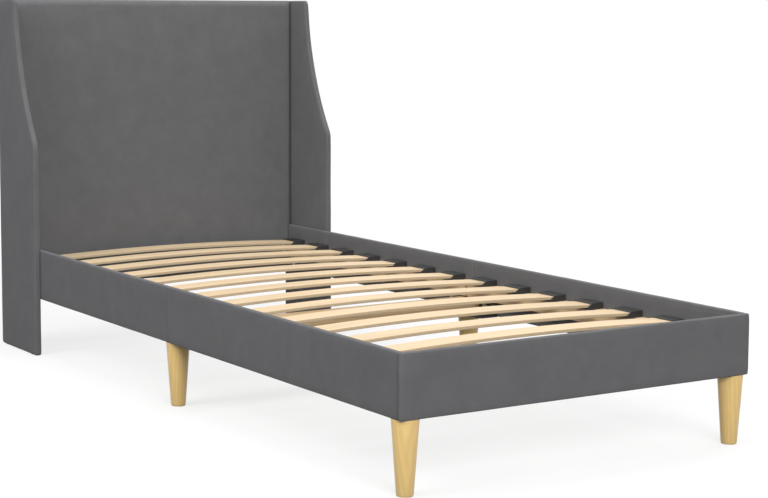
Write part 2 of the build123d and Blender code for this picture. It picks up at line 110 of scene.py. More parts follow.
class Graph:
    """The node tree of a material or world, with short ways to add nodes."""

    def __init__(self, owner: Material | World, output: str) -> None:
        """Start an empty tree.

        Args:
            owner: The material or world.
            output: Kind of its output node.
        """
        owner.use_nodes = True
        self.tree = owner.node_tree
        self.tree.nodes.clear()
        self.output = self.node(output)

    def feed(self, node: Node, inputs: dict[str | int, object]) -> None:
        """Link or set a node's inputs.

        Args:
            node: The node.
            inputs: An output socket, a number or a colour for each input.
        """
        for key, value in inputs.items():
            if isinstance(value, NodeSocket):
                self.tree.links.new(value, node.inputs[key])
            else:
                node.inputs[key].default_value = value

    def node(self, kind: str, inputs: dict[str | int, object] | None = None, **settings: object) -> Node:
        """Add a node.

        Args:
            kind: Its type, without the start that all types share.
            inputs: What its inputs are linked or set to.
            **settings: Its other settings.

        Returns:
            The node.
        """
        node = self.tree.nodes.new(f"ShaderNode{kind}")
        for name, value in settings.items():
            setattr(node, name, value)
        self.feed(node, inputs or {})
        return node

    def place(self, uv_map: str = "", scale: Triple = (1, 1, 1)) -> NodeSocket:
        """Coordinates in metres, from the object or from a piece's own map.

        Args:
            uv_map: Name of the piece's map, or nothing for object coordinates.
            scale: Factor along each axis.

        Returns:
            The coordinates' socket.
        """
        if uv_map:
            found = self.node("UVMap", uv_map=uv_map).outputs["UV"]
        else:
            found = self.node("TexCoord").outputs["Object"]
        return self.node("Mapping", {"Vector": found, "Scale": scale}).outputs["Vector"]

    def noise(self, place: NodeSocket, grain: Grain) -> NodeSocket:
        """Noise between 0 and 1.

        Args:
            place: Coordinates.
            grain: The noise's grain.

        Returns:
            The noise's socket.
        """
        inputs = {"Vector": place, "Scale": grain.scale, "Detail": grain.detail, "Roughness": grain.rough}
        return self.node("TexNoise", inputs).outputs["Fac"]

    def math(self, kind: str, *values: object) -> NodeSocket:
        """Result of an operation on numbers or sockets."""
        return self.node("Math", dict(enumerate(values)), operation=kind).outputs[0]

    def total(self, sockets: Iterable[NodeSocket], shares: Iterable[float]) -> NodeSocket:
        """Sum of sockets, each times its share.

        Args:
            sockets: The sockets.
            shares: The share of each.

        Returns:
            The sum's socket.
        """
        value = 0.0
        for socket, share in zip(sockets, shares):
            value = self.math("MULTIPLY_ADD", socket, share, value)
        return value

    def blend(self, factor: NodeSocket, low: object, high: object, kind: str = "MIX") -> NodeSocket:
        """Colour between two, by a factor.

        Args:
            factor: Share of the second colour.
            low: First colour or socket.
            high: Second colour or socket.
            kind: How the second goes over the first.

        Returns:
            The colour's socket.
        """
        inputs = {"Factor": factor, "A": low, "B": high}
        return self.node("Mix", inputs, data_type="RGBA", blend_type=kind).outputs["Result"]

    def tint(self, factor: NodeSocket, colour: Triple, shades: Pair) -> NodeSocket:
        """Colour between a darker and a lighter shade, by a factor."""
        return self.blend(factor, *(shade(colour, part) for part in shades))

    def span(self, value: NodeSocket, ends: Pair) -> NodeSocket:
        """Value stretched so that the ends give 0 and 1."""
        inputs = {"Value": value, "From Min": ends[0], "From Max": ends[1]}
        return self.node("MapRange", inputs).outputs["Result"]

    def bump(self, height: NodeSocket, relief: Pair, under: NodeSocket | None = None) -> NodeSocket:
        """Bump of a height field.

        Args:
            height: Heights between 0 and 1.
            relief: Height of 1 in metres, and the share of the bump.
            under: Normal that this one lies on.

        Returns:
            The normal's socket.
        """
        inputs = {"Height": height, "Distance": relief[0], "Strength": relief[1]}
        if under is not None:
            inputs["Normal"] = under
        return self.node("Bump", inputs).outputs["Normal"]


class Surface(Graph):
    """The node tree of a principled material."""

    def __init__(self, name: str) -> None:
        """Start the material.

        Args:
            name: The material's name.
        """
        self.material = bpy.data.materials.new(name)
        super().__init__(self.material, "OutputMaterial")
        self.shader = self.node("BsdfPrincipled")
        self.feed(self.output, {"Surface": self.shader.outputs["BSDF"]})

    def finish(
        self, colour: NodeSocket, roughness: NodeSocket, normal: NodeSocket, **own: object
    ) -> Material:
        """Feed the shader.

        Args:
            colour: Base colour.
            roughness: Roughness.
            normal: Normal.
            **own: Values of the shader's own sockets, named with underscores.

        Returns:
            The material.
        """
        self.feed(self.shader, {"Base Color": colour, "Roughness": roughness, "Normal": normal})
        self.feed(self.shader, {name.replace("_", " "): value for name, value in own.items()})
        return self.material


@dataclass(frozen=True)
class WovenCloth:
    """Plain upholstery cloth: an even weave of slubbed threads, with a faint mottle and painted shade
    darkening the gaps between the threads.
    """

    name: str
    colour: Triple
    thread_pitch: float = 1.4 * MM
    thread_relief: Pair = (0.4 * MM, 0.8)
    waver: Grain = Grain(260.0, 1.0)
    waver_turn: float = 2.4
    slub: Grain = Grain(760.0, 2.0)
    slub_length: float = 0.07
    slub_relief: Pair = (0.3 * MM, 0.4)
    cloud: Grain = Grain(18.0, 2.0)
    brushed: Grain = Grain(44.0, 2.0, 0.55)
    tone_shares: Triple = (0.36, 0.26, 0.38)
    tone_ends: Pair = (0.38, 0.62)
    shades: Pair = (0.925, 1.075)
    # Painted shade between the threads: where the darkening starts on the weave, and how dark it gets.
    painted_shade_ends: Pair = (0.45, -0.05)
    painted_hollow_shade: float = 0.72
    roughness_ends: Pair = (-3.2, 0.9)
    specular: float = 0.25
    sheen: float = 0.06
    sheen_roughness: float = 0.45
    sheen_tint: Triple = (0.85, 0.85, 0.9)

    def material(self) -> Material:
        """Build the cloth's material.

        Returns:
            The material.
        """
        graph = Surface(self.name)
        cloth = graph.place(CLOTH_MAP)
        waver = graph.noise(cloth, self.waver)
        split = graph.node("SeparateXYZ", {"Vector": cloth})
        threads = []
        for axis in ("X", "Y"):
            phase = graph.math("MULTIPLY", split.outputs[axis], 2 * math.pi / self.thread_pitch)
            wavering = graph.math("MULTIPLY_ADD", waver, self.waver_turn, phase)
            threads.append(graph.math("SINE", wavering))
        weave = graph.span(graph.math("MULTIPLY", *threads), (-1.0, 1.0))
        stretches = ((1.0, self.slub_length, 1.0), (self.slub_length, 1.0, 1.0))
        yarns = [graph.noise(graph.place(CLOTH_MAP, stretch), self.slub) for stretch in stretches]
        slubs = graph.math("MULTIPLY", graph.math("ADD", *yarns), 0.5)
        body = graph.place()
        mottles = (graph.noise(body, self.cloud), graph.noise(body, self.brushed), slubs)
        tone = graph.span(graph.total(mottles, self.tone_shares), self.tone_ends)
        base = graph.tint(tone, self.colour, self.shades)
        # Painted shade: the colour is darkened where the weave sinks between threads, where shade would
        # fall.
        painted_shade_mask = graph.span(weave, self.painted_shade_ends)
        return graph.finish(
            graph.blend(painted_shade_mask, base, shade(WHITE, self.painted_hollow_shade), "MULTIPLY"),
            graph.span(slubs, self.roughness_ends),
            graph.bump(weave, self.thread_relief, graph.bump(slubs, self.slub_relief)),
            Specular_IOR_Level=self.specular,
            Sheen_Weight=self.sheen,
            Sheen_Roughness=self.sheen_roughness,
            Sheen_Tint=shade(self.sheen_tint),
        )


@dataclass(frozen=True)
class DustCloth:
    """Thin non-woven cloth, with a pressed dot pattern."""

    name: str
    colour: Triple
    dot_pitch: float = 2.2 * MM
    dot_wander: float = 0.15
    dot_ends: Pair = (0.18, 0.34)
    dot_relief: Pair = (0.2 * MM, 0.6)
    fibre: Grain = Grain(900.0, 4.0, 0.7)
    fibre_ends: Pair = (0.3, 0.7)
    fibre_relief: Pair = (0.2 * MM, 0.3)
    shades: Pair = (0.7, 1.5)
    roughness_ends: Pair = (-2.0, 0.9)

    def material(self) -> Material:
        """Build the cloth's material.

        Returns:
            The material.
        """
        graph = Surface(self.name)
        place = graph.place(CLOTH_MAP)
        inputs = {"Vector": place, "Scale": 1 / self.dot_pitch, "Randomness": self.dot_wander}
        dots = graph.span(graph.node("TexVoronoi", inputs).outputs["Distance"], self.dot_ends)
        fibres = graph.noise(graph.place(), self.fibre)
        return graph.finish(
            graph.tint(graph.span(fibres, self.fibre_ends), self.colour, self.shades),
            graph.span(fibres, self.roughness_ends),
            graph.bump(dots, self.dot_relief, graph.bump(fibres, self.fibre_relief)),
        )


@dataclass(frozen=True)
class Timber:
    """Wood with its grain along one axis, raw or lacquered."""

    name: str
    colour: Triple
    along: Axis
    contrast: float = 0.16
    ring_scale: float = 34.0
    roughness: float = 0.6
    lacquer: float = 0.0
    lacquer_roughness: float = 0.22
    stretch: float = 0.07
    ring_warp: float = 5.0
    ring_detail: Pair = (3.0, 1.6)
    streak: Grain = Grain(260.0, 5.0, 0.65)
    broad: Grain = Grain(26.0, 2.0)
    tone_shares: Triple = (0.4, 0.35, 0.25)
    tone_ends: Pair = (0.25, 0.75)
    roughness_reach: float = 0.16
    relief: Pair = (0.15 * MM, 0.25)

    def material(self) -> Material:
        """Build the wood's material.

        Returns:
            The material.
        """
        graph = Surface(self.name)
        place = graph.place(scale=self.along.triple(self.stretch, 1.0))
        inputs = {
            "Vector": place,
            "Scale": self.ring_scale,
            "Distortion": self.ring_warp,
            "Detail": self.ring_detail[0],
            "Detail Scale": self.ring_detail[1],
        }
        rings = graph.node("TexWave", inputs, wave_type="RINGS", rings_direction=self.along.name)
        streaks = graph.noise(place, self.streak)
        figures = (rings.outputs["Fac"], streaks, graph.noise(place, self.broad))
        tone = graph.span(graph.total(figures, self.tone_shares), self.tone_ends)
        smoothest = self.roughness - self.roughness_reach / 2
        return graph.finish(
            graph.tint(tone, self.colour, (1 - self.contrast, 1 + self.contrast)),
            graph.math("MULTIPLY_ADD", streaks, self.roughness_reach, smoothest),
            graph.bump(streaks, self.relief),
            Coat_Weight=self.lacquer,
            Coat_Roughness=self.lacquer_roughness,
        )


@dataclass(frozen=True)
class Plywood:
    """Veneered plywood, its layers showing on the edges of a mapped piece."""

    name: str
    colour: Triple
    along: Axis
    mapped: bool = False
    stretch: float = 0.05
    streak: Grain = Grain(180.0, 5.0, 0.6)
    figure: Grain = Grain(30.0)
    tone_shares: Pair = (0.55, 0.45)
    tone_ends: Pair = (0.3, 0.7)
    face_shades: Pair = (0.84, 1.1)
    layer_pitch: float = 2.6 * MM
    layer_ends: Pair = (-0.35, 0.35)
    layer_shades: Pair = (0.55, 0.95)
    roughness_ends: Pair = (-1.1, 1.9)
    relief: Pair = (0.12 * MM, 0.3)

    def material(self) -> Material:
        """Build the plywood's material.

        Returns:
            The material.
        """
        graph = Surface(self.name)
        place = graph.place(scale=self.along.triple(self.stretch, 1.0))
        streaks = graph.noise(place, self.streak)
        tone = graph.total((streaks, graph.noise(place, self.figure)), self.tone_shares)
        face = graph.tint(graph.span(tone, self.tone_ends), self.colour, self.face_shades)
        if self.mapped:
            split = graph.node("SeparateXYZ", {"Vector": graph.place(GRAIN_MAP)})
            phase = graph.math("MULTIPLY", split.outputs["Y"], 2 * math.pi / self.layer_pitch)
            layers = graph.span(graph.math("SINE", phase), self.layer_ends)
            edge = graph.tint(layers, self.colour, self.layer_shades)
            face = graph.blend(split.outputs["X"], face, edge)
        return graph.finish(
            face, graph.span(streaks, self.roughness_ends), graph.bump(streaks, self.relief)
        )


@dataclass(frozen=True)
class Coated:
    """Smooth coated, plated or moulded surface with a fine texture."""

    name: str
    colour: Triple
    metal: float
    roughness: float
    grain: float
    grain_height: float = 0.06 * MM
    grain_share: float = 0.4
    wear: Grain = Grain(45.0, rough=0.6)
    wear_ends: Pair = (0.3, 0.7)
    shades: Pair = (0.85, 1.15)
    roughness_reach: float = 0.18

    def material(self) -> Material:
        """Build the surface's material.

        Returns:
            The material.
        """
        graph = Surface(self.name)
        place = graph.place()
        fine = graph.noise(place, Grain(self.grain, rough=self.wear.rough))
        worn = graph.noise(place, self.wear)
        smoothest = self.roughness - self.roughness_reach / 2
        return graph.finish(
            graph.tint(graph.span(worn, self.wear_ends), self.colour, self.shades),
            graph.math("MULTIPLY_ADD", worn, self.roughness_reach, smoothest),
            graph.bump(fine, (self.grain_height, self.grain_share)),
            Metallic=self.metal,
        )


PINE = (0.62, 0.44, 0.25)
PINE_RINGS = 24.0

FINISHES = {
    "upholstery_fabric": WovenCloth("charcoal_upholstery", (0.131, 0.131, 0.136)),
    "back_cloth": DustCloth("black_dust_cloth", (0.021, 0.021, 0.023)),
    "panel_board": Plywood("raw_plywood", (0.5, 0.36, 0.21), Axis.Y),
    "timber": Timber("planed_pine", PINE, Axis.Y, ring_scale=PINE_RINGS),
    "timber_across": Timber("planed_pine_across", PINE, Axis.X, ring_scale=PINE_RINGS),
    "timber_up": Timber("planed_pine_up", PINE, Axis.Z, ring_scale=PINE_RINGS),
    "slat_plywood": Plywood("birch_slat", (0.68, 0.52, 0.33), Axis.X, mapped=True),
    "leg_wood": Timber("lacquered_leg", (0.69, 0.475, 0.178), Axis.Z, 0.06, 46.0, 0.4, 0.3),
    "holder_plastic": Coated("black_holder_plastic", (0.022, 0.022, 0.022), 0.0, 0.5, 1500.0),
    "glide_plastic": Coated("beige_glide_plastic", (0.6, 0.45, 0.25), 0.0, 0.45, 1200.0),
    "plate_steel": Coated("black_powder_coat", (0.02, 0.02, 0.021), 0.0, 0.48, 1900.0, 0.1 * MM),
    "bolt_steel": Coated("bright_zinc", (0.6, 0.6, 0.57), 1.0, 0.34, 900.0),
}
MATERIALS = {key: finish.material() for key, finish in FINISHES.items()}


def move(mesh: BMesh, offset: Iterable[float]) -> BMesh:
    """Move a whole piece, and give it back."""
    bmesh.ops.translate(mesh, vec=tuple(offset), verts=mesh.verts)
    return mesh


def block(low: Vector, high: Vector) -> BMesh:
    """Square-edged block between two corners.

    Args:
        low: Lowest corner.
        high: Highest corner.

    Returns:
        The block's bmesh.
    """
    mesh = bmesh.new()
    bmesh.ops.create_cube(mesh, size=1.0)
    bmesh.ops.scale(mesh, vec=high - low, verts=mesh.verts)
    return move(mesh, (high + low) / 2)


def disc(radius: float, depth: float, sides: int, top_radius: float | None = None) -> BMesh:
    """Disc or frustum on the level plane, rising by its depth.

    Args:
        radius: Radius at the bottom.
        depth: Height.
        sides: Number of sides.
        top_radius: Radius at the top, where it differs.

    Returns:
        The disc's bmesh.
    """
    mesh = bmesh.new()
    top = radius if top_radius is None else top_radius
    bmesh.ops.create_cone(mesh, cap_ends=True, segments=sides, radius1=radius, radius2=top, depth=depth)
    return move(mesh, (0, 0, depth / 2))


def round_edges(mesh: BMesh, edges: Iterable[BMEdge], radius: float, segments: int) -> None:
    """Round edges to a radius.

    Args:
        mesh: The piece.
        edges: Edges to round.
        radius: Distance from the edge to where the rounding starts.
        segments: Faces across the rounding.
    """
    bmesh.ops.bevel(
        mesh,
        geom=list(edges),
        offset=radius,
        affect="EDGES",
        segments=segments,
        profile=0.5,
        material=-1,
        offset_type="OFFSET",
        clamp_overlap=True,
    )


def round_rim(mesh: BMesh, height: float, radius: float, segments: int) -> None:
    """Round the level edges of a disc at one height.

    Args:
        mesh: The disc.
        height: Height of the edges.
        radius: Radius of the rounding.
        segments: Faces across the rounding.
    """
    rim = [edge for edge in mesh.edges if all(abs(vert.co.z - height) < SAME for vert in edge.verts)]
    round_edges(mesh, rim, radius, segments)


def edges_along(mesh: BMesh, axis: Axis) -> list[BMEdge]:
    """Find the edges of a block that run along an axis.

    Args:
        mesh: The block.
        axis: The axis.

    Returns:
        The edges.
    """
    found = []
    for edge in mesh.edges:
        first, last = (vert.co for vert in edge.verts)
        if abs((first - last).normalized() @ axis.vector) > ALONG:
            found.append(edge)
    return found


def cut_at(mesh: BMesh, axis: Axis, places: Iterable[float]) -> None:
    """Cut loops square to an axis.

    Args:
        mesh: The piece.
        axis: Axis that the loops are square to.
        places: Where the loops cross the axis.
    """
    for place in places:
        bmesh.ops.bisect_plane(
            mesh,
            geom=[*mesh.verts, *mesh.edges, *mesh.faces],
            dist=TINY,
            plane_co=axis.vector * place,
            plane_no=axis.vector,
        )


def steps(low: float, high: float, pitch: float) -> list[float]:
    """Even places between two ends, about a pitch apart, without the ends."""
    count = max(1, round((high - low) / pitch))
    return [low + (high - low) * index / count for index in range(1, count)]


def closed_steps(low: float, high: float, pitch: float) -> list[float]:
    """Even places between two ends, with the ends."""
    return [low, *steps(low, high, pitch), high]


def map_cloth(mesh: BMesh) -> None:
    """Map each face flat in metres, by the side that it faces most.

    Args:
        mesh: The piece.
    """
    layer = mesh.loops.layers.uv.new(CLOTH_MAP)
    mesh.normal_update()
    for face in mesh.faces:
        facing = max(range(3), key=lambda index: abs(face.normal[index]))
        first, second = [index for index in range(3) if index != facing]
        for loop in face.loops:
            loop[layer].uv = (loop.vert.co[first], loop.vert.co[second])


def ruffle(mesh: BMesh, height: float, size: float, seed: float) -> None:
    """Move each point along its normal by smooth noise, as padding under cloth does.

    Args:
        mesh: The piece.
        height: Greatest move.
        size: Size of the noise's features.
        seed: Shift of the noise.
    """
    mesh.normal_update()
    shift = Vector([seed * part for part in SEED_SHIFT])
    for vert in mesh.verts:
        vert.co += vert.normal * (height * noise.noise(vert.co / size + shift))


def thin(vert: BMVert, through: Axis, side: float, depth: float) -> None:
    """Move a point towards the middle of a piece's thickness, but not past it.

    Args:
        vert: The point.
        through: Axis of the thickness.
        side: How far the point is from the middle.
        depth: How far it moves at most.
    """
    vert.co[through.value] -= math.copysign(min(depth, abs(side)), side)


def dip(
    mesh: BMesh,
    along: Axis,
    place: float,
    reach: float,
    through: Axis,
    middle: float,
    depth: float,
    back_too: bool = True,
) -> None:
    """Thin a padded piece towards a seam or corner.

    Args:
        mesh: The piece.
        along: Axis on which the seam's place is given.
        place: Where the seam is.
        reach: How far from the seam the thinning starts.
        through: Axis of the piece's thickness.
        middle: Middle of its thickness.
        depth: Depth at the seam.
        back_too: Whether the far face dips as well.
    """
    for vert in mesh.verts:
        gap = abs(vert.co[along.value] - place)
        side = vert.co[through.value] - middle
        if gap < reach and (back_too or side < 0):
            thin(vert, through, side, depth * (1 - gap / reach) ** 2)


def gather(mesh: BMesh, seam_y: float, reach: float, height: float, pitch: float, seed: float) -> None:
    """Pull small gathers out of a seam across the rail.

    Args:
        mesh: The piece.
        seam_y: Where the seam is.
        reach: How far the gathers run.
        height: Their height.
        pitch: Their spacing up the rail.
        seed: Shift of their pattern.
    """
    mesh.normal_update()
    for vert in mesh.verts:
        gap = abs(vert.co.y - seam_y)
        fade = math.exp(-gap / reach) * min(1.0, gap / GATHER_START)
        wave = noise.noise(Vector((seed, gap / (3 * reach), vert.co.z / pitch)))
        vert.co += vert.normal * (height * fade * wave)


def sew_line(mesh: BMesh, axis: Axis, place: float, width: float, depth: float) -> None:
    """Draw a seam's narrow groove round a piece.

    Args:
        mesh: The piece.
        axis: Axis that the seam is square to.
        place: Where the seam crosses it.
        width: Width of the groove.
        depth: Depth of the groove.
    """
    cut_at(mesh, axis, (place - width / 2, place, place + width / 2))
    mesh.normal_update()
    for vert in mesh.verts:
        if abs(vert.co[axis.value] - place) < SAME:
            vert.co -= vert.normal * depth


def node_mesh(node: str) -> BMesh:
    """Copy a frame node's mesh, and merge its doubles.

    Args:
        node: Name of the node.

    Returns:
        The copy.
    """
    mesh = bmesh.new()
    mesh.from_mesh(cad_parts[node].data)
    bmesh.ops.remove_doubles(mesh, verts=mesh.verts, dist=SAME)
    return mesh


def keep_over(mesh: BMesh, node: str, gap: float) -> None:
    """Hold every point of a cloth cover a little way off the board inside it.

    Args:
        mesh: The cover.
        node: The board's frame node.
        gap: Least distance between them.
    """
    board = node_mesh(node)
    tree = BVHTree.FromBMesh(board)
    board.free()
    for vert in mesh.verts:
        place, normal, _, _ = tree.find_nearest(vert.co)
        away = vert.co - place
        outside = away.dot(normal) > -away.length / 2
        if outside and away.length >= gap:
            continue
        out = away.normalized() if outside and away.length > TINY else normal
        vert.co = place + out * gap


def to_object(name: str, mesh: BMesh, material: Material) -> Object:
    """Put a bmesh into the scene.

    Args:
        name: The object's name.
        mesh: Its bmesh, which is freed.
        material: Its material.

    Returns:
        The new object.
    """
    data = bpy.data.meshes.new(name)
    mesh.to_mesh(data)
    mesh.free()
    data.materials.append(material)
    piece = bpy.data.objects.new(name, data)
    bpy.context.scene.collection.objects.link(piece)
    return piece


def finish_piece(
    name: str, mesh: BMesh, finish: str, replaces: Iterable[str] = (), smooth: bool = True
) -> Object:
    """Turn a bmesh into a named piece that rides on the frame.

    Args:
        name: The piece's name.
        mesh: Its bmesh, which is freed.
        finish: Key of its finish, which is also its material slot.
        replaces: Frame nodes that it stands for.
        smooth: Whether its faces are shaded smooth.

    Returns:
        The new object.
    """
    bmesh.ops.recalc_face_normals(mesh, faces=mesh.faces)
    piece = to_object(name, mesh, MATERIALS[finish])
    for polygon in piece.data.polygons:
        polygon.use_smooth = smooth
    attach(piece, BODY)
    if replaces:
        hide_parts(*replaces)
    LOG.info("%s: %d faces", name, len(piece.data.polygons))
    return piece


def islands(node: str) -> list[tuple[Vector, Vector]]:
    """Corners of each separate solid of a frame node.

    Args:
        node: Name of the node.

    Returns:
        Lowest and highest corner of each solid, in order of place.
    """
    mesh = node_mesh(node)
    found = []
    waiting = set(mesh.verts)
    while waiting:
        group = [waiting.pop()]
        for vert in group:
            for edge in vert.link_edges:
                other = edge.other_vert(vert)
                if other in waiting:
                    waiting.remove(other)
                    group.append(other)
        corners = (
            Vector([choose(vert.co[index] for vert in group) for index in range(3)])
            for choose in (min, max)
        )
        found.append(tuple(corners))
    mesh.free()
    return sorted(found, key=lambda pair: tuple(round(part, 4) for part in pair[0]))


def ease_board(node: str, easing: float) -> Object:
    """Board of a frame node, the edges of its outline eased where cloth wraps them.

    Args:
        node: Name of the board's node.
        easing: Radius of the eased edges.

    Returns:
        The eased board.
    """
    mesh = node_mesh(node)
    bmesh.ops.dissolve_limit(mesh, angle_limit=FLAT, verts=mesh.verts, edges=mesh.edges)
    low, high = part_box(node)
    middle = (low + high) / 2
    sharp = {edge for edge in mesh.edges if edge.calc_face_angle(0.0) > SHARP}
    outline = set()
    waiting = {max(mesh.verts, key=lambda vert: (vert.co - middle).length)}
    while waiting:
        for edge in waiting.pop().link_edges:
            if edge in sharp and edge not in outline:
                outline.add(edge)
                waiting.update(edge.verts)
    round_edges(mesh, outline, easing, BOARD_FACES)
    return finish_piece(f"{node}_eased", mesh, "panel_board", [node], smooth=False)


def join(pieces: Iterable[BMesh]) -> BMesh:
    """Join bmeshes into one, and free them.

    Args:
        pieces: The bmeshes.

    Returns:
        The joined bmesh.
    """
    whole = bmesh.new()
    for piece in pieces:
        data = bpy.data.meshes.new("part")
        piece.to_mesh(data)
        piece.free()
        whole.from_mesh(data)
        bpy.data.meshes.remove(data)
    return whole


def aim(mesh: BMesh, place: Vector, toward: Vector) -> BMesh:
    """Turn a piece drawn upwards to face a direction, and set it at a place.

    Args:
        mesh: The piece, drawn at the origin.
        place: Where its origin goes.
        toward: Where its top faces.

    Returns:
        The same bmesh.
    """
    turn = toward.to_track_quat("Z", "Y").to_matrix().to_4x4()
    bmesh.ops.transform(mesh, matrix=Matrix.Translation(place) @ turn, verts=mesh.verts)
    return mesh


@dataclass
class Swelling:
    """Cloth simulation that blows a padded piece up a little."""

    pressure: float = 0.12
    cap: float = 3.5 * MM
    quality: int = 6
    mass: float = 0.3
    stretching: float = 40.0
    shearing: float = 20.0
    bending: float = 8.0
    frames: int = 20

    def run(self, piece: Object, held: Callable[[Vector], bool]) -> None:
        """Simulate a closed piece, and apply the result.

        Args:
            piece: The piece.
            held: Says which points stay fixed.
        """
        start = [vert.co.copy() for vert in piece.data.vertices]
        group = piece.vertex_groups.new(name="held")
        group.add([index for index, place in enumerate(start) if held(place)], 1.0, "REPLACE")
        cloth = piece.modifiers.new("cloth", "CLOTH")
        settings = {
            "quality": self.quality,
            "mass": self.mass,
            "tension_stiffness": self.stretching,
            "compression_stiffness": self.stretching,
            "shear_stiffness": self.shearing,
            "bending_stiffness": self.bending,
            "use_pressure": True,
            "uniform_pressure_force": self.pressure,
            "vertex_group_mass": group.name,
        }
        for name, value in settings.items():
            setattr(cloth.settings, name, value)
        cloth.settings.effector_weights.gravity = 0
        cloth.collision_settings.use_collision = False
        scene = bpy.context.scene
        for number in range(1, self.frames + 1):
            scene.frame_set(number)
        flat = piece.data
        piece.data = bpy.data.meshes.new_from_object(
            piece.evaluated_get(bpy.context.evaluated_depsgraph_get())
        )
        piece.modifiers.clear()
        bpy.data.meshes.remove(flat)
        scene.frame_set(1)
        moves = []
        for vert, place in zip(piece.data.vertices, start):
            way = vert.co - place
            moves.append(way.length)
            if way.length > self.cap:
                vert.co = place + way * (self.cap / way.length)
        LOG.info("%s: greatest move %.2f mm", piece.name, max(moves) / MM)
        piece.vertex_groups.clear()


@dataclass
class RailUpholstery:
    """Cloth covers of the side rails' halves and of the foot rail."""

    edge_radius: float = 2.8 * MM
    edge_faces: int = 4
    butt_radius: float = 2.2 * MM
    butt_faces: int = 3
    corner_radius: float = 7.0 * MM
    corner_faces: int = 6
    swelling: float = 0.45 * MM
    roll_depth: float = 1.5 * MM
    roll_reach: float = 17.0 * MM
    roll_cuts: tuple[float, ...] = (4.2 * MM, 6.2 * MM, 8.6 * MM, 11.4 * MM, 14.6 * MM)
    board_gap: float = 0.25 * MM
    board_easing: float = 2.0 * MM
    loop_inset: float = 9.0 * MM
    loop_pitch: float = 22.0 * MM
    fine_pitch: float = 7.0 * MM
    fine_reach: float = 56.0 * MM
    puff: float = 0.3 * MM
    puff_size: float = 70.0 * MM
    seam_dip: float = 0.4 * MM
    seam_reach: float = 16.0 * MM
    corner_dip: float = 1.2 * MM
    corner_reach: float = 46.0 * MM
    end_dip: float = 1.1 * MM
    end_reach: float = 36.0 * MM
    end_roll_depth: float = 0.6 * MM
    end_setback: float = 0.1 * MM
    gather_height: float = 0.35 * MM
    gather_pitch: float = 15.0 * MM
    gather_reach: float = 30.0 * MM
    wing_seam_setback: float = 28.0 * MM
    wing_seam_width: float = 1.6 * MM
    wing_seam_depth: float = 0.6 * MM
    wing_front_y: float = 780.5 * MM
    first_seed: float = 1.0
    seed_step: float = 3.1

    def side_cover(self, half: str, side: str, seed: float) -> Object:
        """One half's cover.

        Args:
            half: Front or rear.
            side: Left or right.
            seed: Shift of its unevenness.

        Returns:
            The cover.
        """
        node = f"side_rail_cover_{half}_{side}"
        low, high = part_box(node)
        proud = Axis.X.vector * self.swelling
        mesh = block(low - proud, high + proud)
        round_edges(mesh, edges_along(mesh, Axis.Y), self.edge_radius, self.edge_faces)
        ends = [edge for edge in mesh.edges if abs((edge.verts[0].co - edge.verts[1].co).y) < SAME]
        round_edges(mesh, ends, self.butt_radius, self.butt_faces)
        seam_y = high.y if half == "front" else low.y
        self.cut_loops(mesh, Axis.Y, low, high)
        if half == "rear":
            line = self.wing_front_y - self.wing_seam_setback
            sew_line(mesh, Axis.Y, line, self.wing_seam_width, self.wing_seam_depth)
        middle_x = (low.x + high.x) / 2
        self.roll(mesh, low, high, Axis.X, middle_x, self.roll_depth)
        dip(mesh, Axis.Y, seam_y, self.seam_reach, Axis.X, middle_x, self.seam_dip)
        if half == "front":
            dip(mesh, Axis.Y, low.y, self.end_reach, Axis.X, middle_x, self.end_dip)
        gather(mesh, seam_y, self.gather_reach, self.gather_height, self.gather_pitch, seed)
        return self.finish_cover(mesh, node, seed)

    def foot_cover(self, seed: float) -> Object:
        """The foot rail's cover, rounded at its outer corners.

        Args:
            seed: Shift of its unevenness.

        Returns:
            The cover.
        """
        node = "foot_rail_cover"
        low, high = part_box(node)
        proud = Vector((-self.end_setback, self.swelling, 0))
        mesh = block(low - proud, high + proud)
        middle_y = (low.y + high.y) / 2
        front = [edge for edge in edges_along(mesh, Axis.Z) if edge.verts[0].co.y < middle_y]
        round_edges(mesh, front, self.corner_radius, self.corner_faces)
        level = [edge for edge in mesh.edges if len({round(vert.co.z, 6) for vert in edge.verts}) == 1]
        round_edges(mesh, level, self.edge_radius, self.edge_faces)
        self.cut_loops(mesh, Axis.X, low, high)
        self.roll(mesh, low, high, Axis.Y, middle_y, self.roll_depth)
        self.roll(mesh, low, high, Axis.X, 0.0, self.end_roll_depth)
        for corner_x in (low.x, high.x):
            dip(mesh, Axis.X, corner_x, self.corner_reach, Axis.Y, middle_y, self.corner_dip, back_too=False)
        return self.finish_cover(mesh, node, seed)

    def roll(
        self, mesh: BMesh, low: Vector, high: Vector, through: Axis, middle: float, depth: float
    ) -> None:
        """Roll a cover's padding off softly towards its top and bottom edges.

        Args:
            mesh: The cover.
            low: Its lowest corner.
            high: Its highest corner.
            through: Axis that the padding is thick along.
            middle: Middle of the cover on that axis.
            depth: Depth of the roll at the edges.
        """
        for edge_z in (low.z, high.z):
            dip(mesh, Axis.Z, edge_z, self.roll_reach, through, middle, depth)

    def cut_loops(self, mesh: BMesh, longest: Axis, low: Vector, high: Vector) -> None:
        """Cut a cover's loops, closer together near its ends and edges.

        Args:
            mesh: The cover.
            longest: Axis along the rail.
            low: Its lowest corner.
            high: Its highest corner.
        """
        start = low[longest.value] + self.loop_inset
        end = high[longest.value] - self.loop_inset
        first, last = start + self.fine_reach, end - self.fine_reach
        cut_at(mesh, longest, closed_steps(start, first, self.fine_pitch))
        cut_at(mesh, longest, steps(first, last, self.loop_pitch))
        cut_at(mesh, longest, closed_steps(last, end, self.fine_pitch))
        bottom, top = low.z + self.roll_reach, high.z - self.roll_reach
        cut_at(mesh, Axis.Z, closed_steps(bottom, top, 2 * self.fine_pitch))
        cut_at(mesh, Axis.Z, [place for cut in self.roll_cuts for place in (low.z + cut, high.z - cut)])

